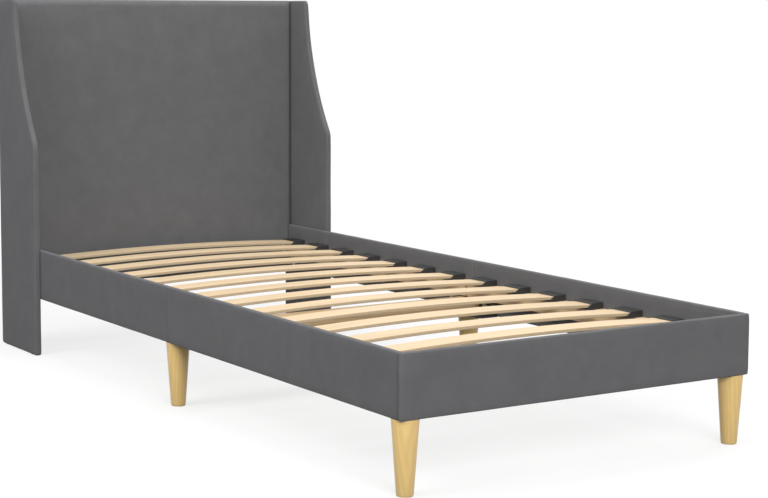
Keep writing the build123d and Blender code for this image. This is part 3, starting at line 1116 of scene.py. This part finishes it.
    def finish_cover(self, mesh: BMesh, node: str, seed: float) -> Object:
        """Make a cover uneven and finish it.

        Args:
            mesh: The cover.
            node: The frame node that it stands for.
            seed: Shift of its unevenness.

        Returns:
            The cover.
        """
        ruffle(mesh, self.puff, self.puff_size, seed)
        board = node.replace("cover", "board")
        keep_over(mesh, board, self.board_gap)
        ease_board(board, self.board_easing)
        map_cloth(mesh)
        cover = finish_piece(node.replace("cover", "upholstery"), mesh, "upholstery_fabric", [node])
        return cover

    def build(self) -> None:
        """Make all the rails' covers."""
        seed = self.first_seed
        for side in SIDES:
            for half in HALVES:
                self.side_cover(half, side, seed)
                seed += self.seed_step
        self.foot_cover(seed)


@dataclass
class HeadboardPanel:
    """The headboard's padded panel, and the dust cloth stapled to its back."""

    front_radius: float = 17.0 * MM
    front_faces: int = 7
    back_radius: float = 1.2 * MM
    back_faces: int = 2
    front_slack: float = 1.2 * MM
    loop_pitch: float = 15.0 * MM
    rim_gap: float = 1.0 * MM
    rim_width: float = 10.0 * MM
    top_pitch: float = 6.0 * MM
    held_margin: float = 3.0 * MM
    puff: float = 0.35 * MM
    puff_size: float = 120.0 * MM
    roll_depth: float = 3.4 * MM
    roll_reach: float = 48.0 * MM
    wall: float = 1.5 * MM
    back_band: float = 0.01 * MM
    opening_half_width: float = 428.0 * MM
    opening_low_z: float = 194.5 * MM
    opening_high_z: float = 955.5 * MM
    foam_back_y: float = 1004.0 * MM
    cloth_puff: float = 0.12 * MM
    cloth_puff_size: float = 70.0 * MM
    staple_inset: float = 9.0 * MM
    staple_pitch: float = 55.0 * MM
    staple_width: float = 9.0 * MM
    staple_wire: float = 0.9 * MM

    def hollow_back(self, mesh: BMesh, low: Vector, high: Vector) -> None:
        """Open the back, behind a narrow return, into the room for the boards.

        Args:
            mesh: The panel, with loops cut at the opening's edges.
            low: Its lowest corner.
            high: Its highest corner.
        """
        mesh.normal_update()
        floor = []
        for face in mesh.faces:
            middle = face.calc_center_median()
            at_back = face.normal.y > FACING and middle.y > high.y - self.back_band
            within = abs(middle.x) < self.opening_half_width
            if at_back and within and self.opening_low_z < middle.z < self.opening_high_z:
                floor.append(face)
        walls = {
            Axis.X: {
                -self.opening_half_width: low.x + self.wall,
                self.opening_half_width: high.x - self.wall,
            },
            Axis.Z: {self.opening_low_z: low.z + self.wall, self.opening_high_z: high.z - self.wall},
        }
        inner_y = high.y - self.wall
        for depth_y, moves in ((inner_y, {}), (inner_y, walls), (self.foam_back_y, {})):
            grown = bmesh.ops.extrude_face_region(mesh, geom=floor)
            bmesh.ops.delete(mesh, geom=floor, context="FACES")
            floor = [item for item in grown["geom"] if isinstance(item, BMFace)]
            for vert in {vert for face in floor for vert in face.verts}:
                vert.co.y = depth_y
                for axis, places in moves.items():
                    for old, new in places.items():
                        if abs(vert.co[axis.value] - old) < SAME:
                            vert.co[axis.value] = new

    def pad(self) -> Object:
        """The panel's cloth over its foam.

        Returns:
            The panel's cloth.
        """
        low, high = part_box("headboard_cover")
        mesh = block(low + Vector((0, self.front_slack, 0)), high)
        middle_y = (low.y + high.y) / 2
        front = [edge for edge in mesh.edges if all(vert.co.y < middle_y for vert in edge.verts)]
        round_edges(mesh, front, self.front_radius, self.front_faces)
        back = [edge for edge in mesh.edges if all(vert.co.y > high.y - SAME for vert in edge.verts)]
        round_edges(mesh, back, self.back_radius, self.back_faces)
        reach = self.opening_half_width
        cut_at(mesh, Axis.X, closed_steps(-reach, reach, self.loop_pitch))
        cut_at(mesh, Axis.Z, closed_steps(self.opening_low_z, self.opening_high_z, self.loop_pitch))
        rim = self.front_radius + self.rim_gap
        wide = rim + self.rim_width
        for axis in (Axis.X, Axis.Z):
            near, far = low[axis.value], high[axis.value]
            cut_at(mesh, axis, (near + rim, near + wide, far - wide, far - rim))
        cut_at(mesh, Axis.Z, steps(high.z - self.roll_reach, high.z - rim, self.top_pitch))
        for vert in mesh.verts:
            gap = high.z - vert.co.z
            if vert.co.y < low.y + self.front_slack + SAME:
                vert.co.y += self.puff * noise.noise(vert.co / self.puff_size)
            if gap < self.roll_reach and vert.co.y < low.y + self.front_radius:
                vert.co.y += self.roll_depth * (1 - gap / self.roll_reach) ** 2
        self.hollow_back(mesh, low, high)
        map_cloth(mesh)
        replaced = ["headboard_cover", "headboard_foam"]
        pad = finish_piece("headboard_upholstery", mesh, "upholstery_fabric", replaced)

        def held(place: Vector) -> bool:
            """Tell whether a point is on the panel's back or edges.

            Args:
                place: The point.

            Returns:
                True where it is.
            """
            inside_z = low.z + self.held_margin < place.z < high.z - self.held_margin
            inside_x = abs(place.x) <= high.x - self.held_margin
            return place.y > low.y + self.front_radius or not (inside_x and inside_z)

        Swelling().run(pad, held)
        return pad

    def dust_cloth(self) -> Object:
        """The thin cloth over the panel's open back.

        Returns:
            The cloth.
        """
        low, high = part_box("headboard_back_cloth")
        mesh = block(low, high)
        for axis in (Axis.X, Axis.Z):
            cut_at(mesh, axis, steps(low[axis.value], high[axis.value], self.loop_pitch))
        for vert in mesh.verts:
            vert.co.y += self.cloth_puff * noise.noise(vert.co / self.cloth_puff_size)
        map_cloth(mesh)
        cloth = finish_piece("back_dust_cloth", mesh, "back_cloth", ["headboard_back_cloth"])
        return cloth

    def staples(self) -> Object:
        """Staples round the dust cloth's edge.

        Returns:
            The staples.
        """
        low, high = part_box("headboard_back_cloth")
        near, far = low + Vector.Fill(3, self.staple_inset), high - Vector.Fill(3, self.staple_inset)
        wires = []
        for x in steps(low.x, high.x, self.staple_pitch):
            wires += [(x, near.z, Axis.X), (x, far.z, Axis.X)]
        for z in steps(low.z, high.z, self.staple_pitch):
            wires += [(near.x, z, Axis.Z), (far.x, z, Axis.Z)]
        pieces = []
        for x, z, along in wires:
            half = along.vector * (self.staple_width / 2) + Vector.Fill(3, self.staple_wire / 2)
            middle = Vector((x, high.y, z))
            pieces.append(block(middle - half, middle + half))
        return finish_piece("back_staples", join(pieces), "bolt_steel", smooth=False)

    def build(self) -> None:
        """Make the panel's cloth parts."""
        self.pad()
        self.dust_cloth()
        self.staples()


@dataclass
class WingUpholstery:
    """Padded covers of the two wings."""

    kink_height: float = 590.0 * MM
    kink_easing: float = 14.0 * MM
    top_depth: float = 121.0 * MM
    hollow: float = 29.0 * MM
    edge_radius: float = 3.8 * MM
    edge_faces: int = 5
    top_front_radius: float = 12.0 * MM
    top_back_radius: float = 10.0 * MM
    foot_radius: float = 6.0 * MM
    corner_faces: int = 5
    foot_drop: float = 2.4 * MM
    foot_roll_depth: float = 1.0 * MM
    foot_roll_reach: float = 14.0 * MM
    swelling: float = 0.7 * MM
    roll_depth: float = 2.4 * MM
    roll_reach: float = 44.0 * MM
    crisp_depth: float = 0.7 * MM
    crisp_reach: float = 16.0 * MM
    stiff_front: float = 40.0 * MM
    stiff_back: float = 24.0 * MM
    loop_pitch: float = 13.0 * MM
    fine_pitch: float = 4.0 * MM
    board_gap: float = 0.3 * MM
    board_easing: float = 2.5 * MM
    puff: float = 0.4 * MM
    puff_size: float = 90.0 * MM
    seed: float = 31.0

    def setback(self, height: float, low: Vector, high: Vector) -> float:
        """How far the front edge stands back at a height, on a hollow arc above the kink.

        Args:
            height: Height above the floor.
            low: Lowest corner of the wing.
            high: Highest corner of the wing.

        Returns:
            The distance behind the foot of the edge.
        """
        rise = height - self.kink_height
        if rise <= -self.kink_easing:
            return 0.0
        if rise < self.kink_easing:
            rise = (rise + self.kink_easing) ** 2 / (4 * self.kink_easing)
        chord = Vector((high.y - self.top_depth - low.y, high.z - self.kink_height))
        radius = (chord.length / 2) ** 2 / (2 * self.hollow) + self.hollow / 2
        inward = Vector((chord.y, -chord.x)).normalized()
        centre = chord / 2 - inward * (radius - self.hollow)
        return centre.x + math.sqrt(radius**2 - (rise - centre.y) ** 2)

    def corners(self, mesh: BMesh, low: Vector, high: Vector) -> None:
        """Round the four corners of a wing's outline.

        Args:
            mesh: The wing, still a block.
            low: Lowest corner of the wing.
            high: Highest corner of the wing.
        """
        radii = {
            (low.y, low.z): self.foot_radius,
            (high.y, low.z): self.foot_radius,
            (low.y, high.z): self.top_front_radius,
            (high.y, high.z): self.top_back_radius,
        }
        for corner, radius in radii.items():
            place = Vector(corner)
            edge = min(edges_along(mesh, Axis.X), key=lambda item: (item.verts[0].co.yz - place).length)
            round_edges(mesh, [edge], radius, self.corner_faces)

    def soften_front(self, mesh: BMesh, low: Vector, middle_x: float) -> None:
        """Roll the padding off towards the front edge, crisply at the foot and softly above the kink.

        Args:
            mesh: The wing, its front edge still upright.
            low: Lowest corner of the wing.
            middle_x: Middle of its thickness.
        """
        for vert in mesh.verts:
            share = min(1.0, (vert.co.z - low.z) / (self.kink_height - low.z))
            depth = self.crisp_depth + (self.roll_depth - self.crisp_depth) * share
            reach = self.crisp_reach + (self.roll_reach - self.crisp_reach) * share
            gap = vert.co.y - low.y
            if gap < reach:
                thin(vert, Axis.X, vert.co.x - middle_x, depth * (1 - gap / reach) ** 2)

    def cut_loops(self, mesh: BMesh, low: Vector, high: Vector) -> None:
        """Cut a wing's loops, closer together near its edges and its kink.

        Args:
            mesh: The wing.
            low: Lowest corner of the wing.
            high: Highest corner of the wing.
        """
        for axis in (Axis.Y, Axis.Z):
            start = low[axis.value] + self.top_front_radius
            end = high[axis.value] - self.top_front_radius
            first, last = start + self.roll_reach, end - self.roll_reach
            cut_at(mesh, axis, closed_steps(start, first, self.fine_pitch))
            cut_at(mesh, axis, steps(first, last, self.loop_pitch))
            cut_at(mesh, axis, closed_steps(last, end, self.fine_pitch))
        kink = self.kink_height - self.kink_easing, self.kink_height + self.kink_easing
        cut_at(mesh, Axis.Z, closed_steps(*kink, self.fine_pitch))

    def cover(self, side: str) -> Object:
        """One wing's cover.

        Args:
            side: Left or right.

        Returns:
            The cover.
        """
        node = f"wing_cover_{side}"
        low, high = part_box(node)
        low.z -= self.foot_drop
        proud = Axis.X.vector * self.swelling
        mesh = block(low - proud, high + proud)
        self.corners(mesh, low, high)
        rims = [edge for edge in mesh.edges if abs(edge.verts[0].co.x - edge.verts[1].co.x) < SAME]
        round_edges(mesh, rims, self.edge_radius, self.edge_faces)
        self.cut_loops(mesh, low, high)
        middle_x = (low.x + high.x) / 2
        for axis, edge in ((Axis.Y, high.y), (Axis.Z, high.z)):
            dip(mesh, axis, edge, self.roll_reach, Axis.X, middle_x, self.roll_depth)
        self.soften_front(mesh, low, middle_x)
        dip(mesh, Axis.Z, low.z, self.foot_roll_reach, Axis.X, middle_x, self.foot_roll_depth)
        ruffle(mesh, self.puff, self.puff_size, self.seed + SIDES[side])
        front, back = low.y + self.stiff_front, high.y - self.stiff_back
        for vert in mesh.verts:
            share = min(1.0, max(0.0, (back - vert.co.y) / (back - front)))
            vert.co.y += share * self.setback(vert.co.z, low, high)
        board = f"wing_board_{side}"
        keep_over(mesh, board, self.board_gap)
        ease_board(board, self.board_easing)
        map_cloth(mesh)
        cover = finish_piece(f"wing_upholstery_{side}", mesh, "upholstery_fabric", [node])
        return cover

    def build(self) -> None:
        """Make both wings' covers."""
        for side in SIDES:
            self.cover(side)


@dataclass
class Legs:
    """Turned tapered legs and the glides under the legs and wings."""

    sides: int = 64
    rounding: float = 0.8 * MM
    rounding_faces: int = 3
    foot_share: float = 18.0 / 29.0
    glide_sides: int = 48
    glide_height: float = 3.0 * MM
    glide_rounding: float = 0.7 * MM
    leg_glide_growth: float = 3.0 * MM

    def leg(self, node: str) -> Object:
        """One leg.

        Args:
            node: The frame node that it stands for.

        Returns:
            The leg.
        """
        low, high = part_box(node)
        middle = (low + high) / 2
        radius = (high.x - low.x) / 2
        height = high.z - low.z
        mesh = disc(radius * self.foot_share, height, self.sides, radius)
        for z in (0.0, height):
            round_rim(mesh, z, self.rounding, self.rounding_faces)
        move(mesh, (middle.x, middle.y, low.z))
        return finish_piece(f"{node}_turned", mesh, "leg_wood", [node])

    def glides(self, node: str, finish: str, growth: float) -> Object:
        """The glides of one node.

        Args:
            node: The frame node that they stand for.
            finish: Key of their finish.
            growth: How much wider than their solids they are drawn.

        Returns:
            The glides.
        """
        pieces = []
        for low, high in islands(node):
            middle = (low + high) / 2
            pad = disc((high.x - low.x) / 2 + growth, self.glide_height, self.glide_sides)
            round_rim(pad, 0.0, self.glide_rounding, self.rounding_faces)
            pieces.append(move(pad, (middle.x, middle.y, low.z)))
        return finish_piece(f"{node}_discs", join(pieces), finish, [node])

    def build(self) -> None:
        """Make the legs and glides."""
        for place in ("foot", "mid"):
            for side in SIDES:
                self.leg(f"leg_{place}_{side}")
        self.glides("leg_glides", "glide_plastic", self.leg_glide_growth)
        self.glides("wing_glides", "holder_plastic", 0.0)


@dataclass
class SlatBase:
    """Bowed slats and the moulded holders at their ends."""

    thickness: float = 8.0 * MM
    crown: float = 12.0 * MM
    edge_radius: float = 1.4 * MM
    edge_faces: int = 3
    level_face: float = 0.7
    cuts: int = 40
    count: int = 14
    wall: float = 3.0 * MM
    floor: float = 3.0 * MM
    lip: float = 4.0 * MM
    roof_setback: float = 12.0 * MM
    depth: float = 46.0 * MM
    mouth_face: float = 0.3
    rounding: float = 0.9 * MM
    rounding_faces: int = 2
    rounded_angle: float = 35.0
    peg_length: float = 18.0 * MM
    peg_radius: float = 4.0 * MM
    peg_sides: int = 16
    peg_setback: float = 11.0 * MM
    peg_spacing: float = 40.0 * MM

    def slat(self, number: int) -> Object:
        """One bowed slat, with its layers mapped for the edges.

        Args:
            number: Its place from the foot.

        Returns:
            The slat.
        """
        node = f"slat_{number:02d}"
        low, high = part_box(node)
        mesh = block(Vector((low.x, low.y, 0)), Vector((high.x, high.y, self.thickness)))
        round_edges(mesh, edges_along(mesh, Axis.X), self.edge_radius, self.edge_faces)
        cut_at(mesh, Axis.X, steps(low.x, high.x, (high.x - low.x) / self.cuts))
        layer = mesh.loops.layers.uv.new(GRAIN_MAP)
        mesh.normal_update()
        for face in mesh.faces:
            edge_share = 0.0 if abs(face.normal.z) > self.level_face else 1.0
            for loop in face.loops:
                loop[layer].uv = (edge_share, loop.vert.co.z)
        half = (high.x - low.x) / 2
        for vert in mesh.verts:
            vert.co.z += low.z + self.crown * (1 - (vert.co.x / half) ** 2)
        return finish_piece(f"{node}_bowed", mesh, "slat_plywood", [node], smooth=False)

    def holder(self, low: Vector, high: Vector, side: int) -> BMesh:
        """One holder: a hollow block with a set-back roof and two pegs.

        Args:
            low: Lowest corner of the block with its pegs.
            high: Highest corner.
            side: 1 on the right, -1 on the left.

        Returns:
            The holder's bmesh.
        """
        bottom = low.z + self.peg_length
        outer_x = high.x if side > 0 else low.x
        mouth_x = outer_x - side * self.depth
        near_x, far_x = sorted((outer_x, mouth_x))
        shell = block(Vector((near_x, low.y, bottom)), Vector((far_x, high.y, high.z)))
        top_mouth = [
            vert for vert in shell.verts if abs(vert.co.x - mouth_x) < SAME and vert.co.z > bottom + SAME
        ]
        for vert in top_mouth:
            vert.co.x += side * self.roof_setback
        slope = []
        for edge in shell.edges:
            run = edge.verts[0].co - edge.verts[1].co
            at_top = len([vert for vert in edge.verts if vert in top_mouth])
            if at_top == 1 and abs(run.y) < SAME and abs(run.z) > SAME:
                slope.append(edge)
        halved = bmesh.ops.subdivide_edges(shell, edges=slope, cuts=1)
        for item in halved["geom_inner"]:
            if isinstance(item, BMVert):
                item.co.x = mouth_x
                item.co.z = bottom + self.floor + self.lip
        shell.normal_update()
        mouth = [face for face in shell.faces if face.normal.x * side < -self.mouth_face]
        bmesh.ops.inset_region(shell, faces=mouth, thickness=self.wall, use_even_offset=True)
        deep = bmesh.ops.extrude_face_region(shell, geom=mouth)
        bmesh.ops.delete(shell, geom=mouth, context="FACES")
        for item in deep["geom"]:
            if isinstance(item, BMVert):
                item.co.x = outer_x - side * self.wall
        pieces = [shell]
        middle_y = (low.y + high.y) / 2
        for offset in (-self.peg_spacing / 2, self.peg_spacing / 2):
            peg = disc(self.peg_radius, self.peg_length, self.peg_sides)
            pieces.append(move(peg, (outer_x - side * self.peg_setback, middle_y + offset, low.z)))
        return join(pieces)

    def holders(self, side: str) -> Object:
        """All the holders of one side.

        Args:
            side: Left or right.

        Returns:
            The holders.
        """
        node = f"slat_holders_{side}"
        pieces = [self.holder(low, high, SIDES[side]) for low, high in islands(node)]
        holders = finish_piece(f"{node}_moulded", join(pieces), "holder_plastic", [node], smooth=False)
        easing = holders.modifiers.new("eased_edges", "BEVEL")
        easing.width = self.rounding
        easing.segments = self.rounding_faces
        easing.limit_method = "ANGLE"
        easing.angle_limit = math.radians(self.rounded_angle)
        easing.harden_normals = False
        return holders

    def build(self) -> None:
        """Make the slats and holders."""
        for number in range(1, self.count + 1):
            self.slat(number)
        for side in SIDES:
            self.holders(side)


@dataclass
class Fixings:
    """Bolts, nuts and screws."""

    head_half_width: float = 6.5 * MM
    head_height: float = 4.2 * MM
    head_rounding: float = 0.5 * MM
    head_faces: int = 2
    flange_radius: float = 8.4 * MM
    flange_height: float = 1.1 * MM
    flange_sides: int = 28
    shank_radius: float = 4.0 * MM
    shank_sides: int = 14
    screw_radius: float = 4.0 * MM
    screw_taper: float = 0.6
    screw_height: float = 1.6 * MM
    screw_sides: int = 24
    screw_rim: float = 2.2 * MM
    screw_recess: float = 1.1 * MM
    screw_sinking: float = 1.4 * MM
    screws_in_ledger: int = 5
    screw_setback: float = 45.0 * MM
    bar_screw_setback: float = 52.0 * MM
    bar_screw_spacing: float = 40.0 * MM

    def hexagon(self, height: float) -> BMesh:
        """Hexagon with eased top corners.

        Args:
            height: Its height.

        Returns:
            The hexagon's bmesh.
        """
        mesh = disc(self.head_half_width / math.cos(math.pi / 6), height, 6)
        round_rim(mesh, height, self.head_rounding, self.head_faces)
        return mesh

    def bolt(self, low: Vector, high: Vector) -> BMesh:
        """One flanged bolt, its head towards the middle of the bed.

        Args:
            low: Lowest corner of its solid.
            high: Highest corner of its solid.

        Returns:
            The bolt's bmesh.
        """
        size = high - low
        middle = (low + high) / 2
        along = Axis.X if size.x > size.y else Axis.Y
        toward = along.vector * (-1 if middle[along.value] > 0 else 1)
        top = self.head_height + self.flange_height
        length = size[along.value] - top
        seat = middle + toward * (size[along.value] / 2 - top)
        flange = disc(self.flange_radius, self.flange_height, self.flange_sides)
        head = move(self.hexagon(self.head_height), (0, 0, self.flange_height))
        shank = move(disc(self.shank_radius, length, self.shank_sides), (0, 0, -length))
        return aim(join([flange, head, shank]), seat, toward)

    def bolts(self, node: str) -> Object:
        """The bolts that stand for a frame node."""
        pieces = [self.bolt(low, high) for low, high in islands(node)]
        return finish_piece(f"{node}_flanged", join(pieces), "bolt_steel", [node], smooth=False)

    def nuts(self) -> Object:
        """Nuts on the legs' hanger bolts.

        Returns:
            The nuts.
        """
        pieces = []
        for low, high in islands("leg_nuts"):
            middle = (low + high) / 2
            nut = self.hexagon(high.z - low.z)
            pieces.append(aim(nut, Vector((middle.x, middle.y, low.z)), Axis.Z.vector))
        return finish_piece("leg_nuts_hexagon", join(pieces), "bolt_steel", ["leg_nuts"], smooth=False)

    def screw(self, place: Vector, toward: Vector) -> BMesh:
        """Head of one wood screw, sunk flush, with a recess for the driver.

        Args:
            place: Middle of the head's top.
            toward: Where the head faces.

        Returns:
            The head's bmesh.
        """
        foot_radius = self.screw_radius * self.screw_taper
        mesh = disc(foot_radius, self.screw_height, self.screw_sides, self.screw_radius)
        mesh.normal_update()
        top = [face for face in mesh.faces if face.normal.z > FACING]
        bmesh.ops.inset_region(mesh, faces=top, thickness=self.screw_rim)
        recess = list({vert for face in top for vert in face.verts})
        bmesh.ops.translate(mesh, vec=(0, 0, -self.screw_recess), verts=recess)
        return aim(move(mesh, (0, 0, -self.screw_sinking)), place, toward)

    def screws(self) -> Object:
        """Screws through the ledgers, and up through the joint angles into the cross bar.

        Returns:
            The screws' heads.
        """
        pieces = []
        for side, sign in SIDES.items():
            for half in HALVES:
                low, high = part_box(f"ledger_{half}_{side}")
                inner_x = low.x if sign > 0 else high.x
                start = low.y + self.screw_setback
                pitch = (high.y - low.y - 2 * self.screw_setback) / (self.screws_in_ledger - 1)
                for index in range(self.screws_in_ledger):
                    place = Vector((inner_x, start + index * pitch, (low.z + high.z) / 2))
                    pieces.append(self.screw(place, Vector((-sign, 0, 0))))
            low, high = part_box(f"joint_angle_{side}")
            bar_x = (high.x if sign > 0 else low.x) - sign * self.bar_screw_setback
            middle_y = (low.y + high.y) / 2
            for offset in (-self.bar_screw_spacing / 2, self.bar_screw_spacing / 2):
                place = Vector((bar_x, middle_y + offset, low.z))
                pieces.append(self.screw(place, Vector((0, 0, -1))))
        return finish_piece("wood_screw_heads", join(pieces), "bolt_steel", smooth=False)

    def build(self) -> None:
        """Make all the fixings."""
        self.bolts("frame_bolts")
        self.bolts("wing_bolts")
        self.nuts()
        self.screws()


@dataclass
class CarriedOver:
    """Finishes of the frame nodes that stay as they are, by how their names start."""

    finishes: dict[str, str] = field(
        default_factory=lambda: {
            "headboard_face_board": "panel_board",
            "headboard_stile": "timber_up",
            "headboard_bottom_batten": "timber_across",
            "headboard_mid_batten": "timber_across",
            "headboard_top_batten": "timber_across",
            "ledger": "timber",
            "mid_cross_bar": "timber_across",
            "corner_bracket": "plate_steel",
            "joint_angle": "plate_steel",
            "leg_hanger_bolts": "bolt_steel",
            "threaded_inserts": "bolt_steel",
        }
    )

    def build(self) -> None:
        """Give each node its material."""
        for name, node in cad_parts.items():
            for start, finish in self.finishes.items():
                if name.startswith(start):
                    node.data.materials.clear()
                    node.data.materials.append(MATERIALS[finish])
                    LOG.info("%s: %s", name, finish)


@dataclass
class Studio:
    """Pale floor, soft lights and the camera."""

    floor_size: float = 60.0
    floor_shade: float = 0.18
    seen_floor_shade: float = 0.86
    near_share: float = 0.72
    near_reach: float = 1.9
    far_reach: float = 3.6
    world_strength: float = 0.42
    camera_place: Triple = (-2.44533, -4.01726, 0.96071)
    yaw: float = 0.55731
    pitch: float = 0.09484
    roll: float = 0.00225
    lens: float = 86.98816
    sensor: float = 36.0
    shift: Pair = (0.04587, -0.08)
    aimed_at: Triple = (0.0, 0.0, 0.35)
    lamps: dict[str, tuple[Triple, float, float]] = field(
        default_factory=lambda: {
            "front": ((-2.3, -8.6, 4.8), 5.0, 665.0),
            "left": ((-5.2, -0.7, 4.4), 4.0, 187.0),
            "right": ((5.2, 0.5, 4.2), 4.0, 90.0),
            "top": ((0.3, 0.2, 5.4), 4.0, 120.0),
        }
    )

    def seen(self, graph: Graph) -> NodeSocket:
        """Tell camera, glossy and transmission rays from the rest.

        Args:
            graph: The node tree.

        Returns:
            A socket that is 1 for those rays.
        """
        rays = graph.node("LightPath").outputs
        total = rays["Is Camera Ray"]
        for name in ("Is Glossy Ray", "Is Transmission Ray"):
            total = graph.math("MAXIMUM", total, rays[name])
        return total

    def mix(self, graph: Graph, share: NodeSocket, low: Node, high: Node) -> None:
        """Send a mix of two shaders to the output.

        Args:
            graph: The node tree.
            share: Share of the second.
            low: First shader.
            high: Second shader.
        """
        mixed = graph.node("MixShader", {"Fac": share, 1: low.outputs[0], 2: high.outputs[0]})
        graph.feed(graph.output, {"Surface": mixed.outputs[0]})

    def floor(self) -> Object:
        """Plain pale floor that keeps the bed's shadow and shows white to the camera.

        Returns:
            The floor.
        """
        material = bpy.data.materials.new("pale_floor")
        graph = Graph(material, "OutputMaterial")
        seen = self.seen(graph)
        tone = graph.blend(seen, shade(WHITE, self.floor_shade), shade(WHITE, self.seen_floor_shade))
        away = graph.node("VectorMath", {0: graph.node("TexCoord").outputs["Object"]}, operation="LENGTH")
        ends = {"From Min": self.near_reach, "From Max": self.far_reach, "To Min": self.near_share}
        inputs = {"Value": away.outputs["Value"], **ends}
        fade = graph.node("MapRange", inputs, interpolation_type="SMOOTHSTEP").outputs["Result"]
        matt = graph.node("BsdfDiffuse", {"Color": tone})
        white = graph.node("Emission", {"Strength": 1.0})
        self.mix(graph, graph.math("MULTIPLY", seen, fade), matt, white)
        mesh = bmesh.new()
        bmesh.ops.create_grid(mesh, x_segments=1, y_segments=1, size=self.floor_size / 2)
        floor = to_object("studio_floor", mesh, material)
        return floor

    def world(self) -> None:
        """Even pale surroundings, white to the camera."""
        world = bpy.data.worlds.new("studio")
        bpy.context.scene.world = world
        graph = Graph(world, "OutputWorld")
        glow, white = [
            graph.node("Background", {"Color": shade(WHITE), "Strength": strength})
            for strength in (self.world_strength, 1.0)
        ]
        self.mix(graph, self.seen(graph), glow, white)

    def light(self) -> None:
        """Large soft lamps, aimed at the bed."""
        for name, (place, size, power) in self.lamps.items():
            lamp = bpy.data.lights.new(name, "AREA")
            lamp.shape = "DISK"
            lamp.size = size
            lamp.energy = power
            holder = bpy.data.objects.new(name, lamp)
            holder.location = place
            aimed = Vector(self.aimed_at) - Vector(place)
            holder.rotation_euler = aimed.to_track_quat("-Z", "Y").to_euler()
            bpy.context.scene.collection.objects.link(holder)

    def camera(self) -> None:
        """Camera at the photograph's viewing angle."""
        level = math.cos(self.pitch)
        ahead = Vector((math.sin(self.yaw) * level, math.cos(self.yaw) * level, -math.sin(self.pitch)))
        right = Vector((math.cos(self.yaw), -math.sin(self.yaw), 0.0))
        up = right.cross(ahead)
        rolled_right = right * math.cos(self.roll) + up * math.sin(self.roll)
        rolled_up = up * math.cos(self.roll) - right * math.sin(self.roll)
        data = bpy.data.cameras.new("camera")
        data.sensor_width = self.sensor
        data.lens = self.lens
        data.shift_x, data.shift_y = self.shift
        holder = bpy.data.objects.new("camera", data)
        turn = Matrix((rolled_right, rolled_up, -ahead)).transposed()
        holder.rotation_euler = turn.to_euler()
        holder.location = self.camera_place
        bpy.context.scene.collection.objects.link(holder)
        bpy.context.scene.camera = holder

    def build(self) -> None:
        """Set the scene."""
        self.floor()
        self.world()
        self.light()
        self.camera()
        bpy.context.scene.view_settings.view_transform = "Standard"


def main() -> None:
    """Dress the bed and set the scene."""
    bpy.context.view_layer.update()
    for part in (
        CarriedOver(),
        RailUpholstery(),
        HeadboardPanel(),
        WingUpholstery(),
        Legs(),
        SlatBase(),
        Fixings(),
        Studio(),
    ):
        LOG.info("building %s", type(part).__name__)
        part.build()


if __name__ == "__main__":
    main()
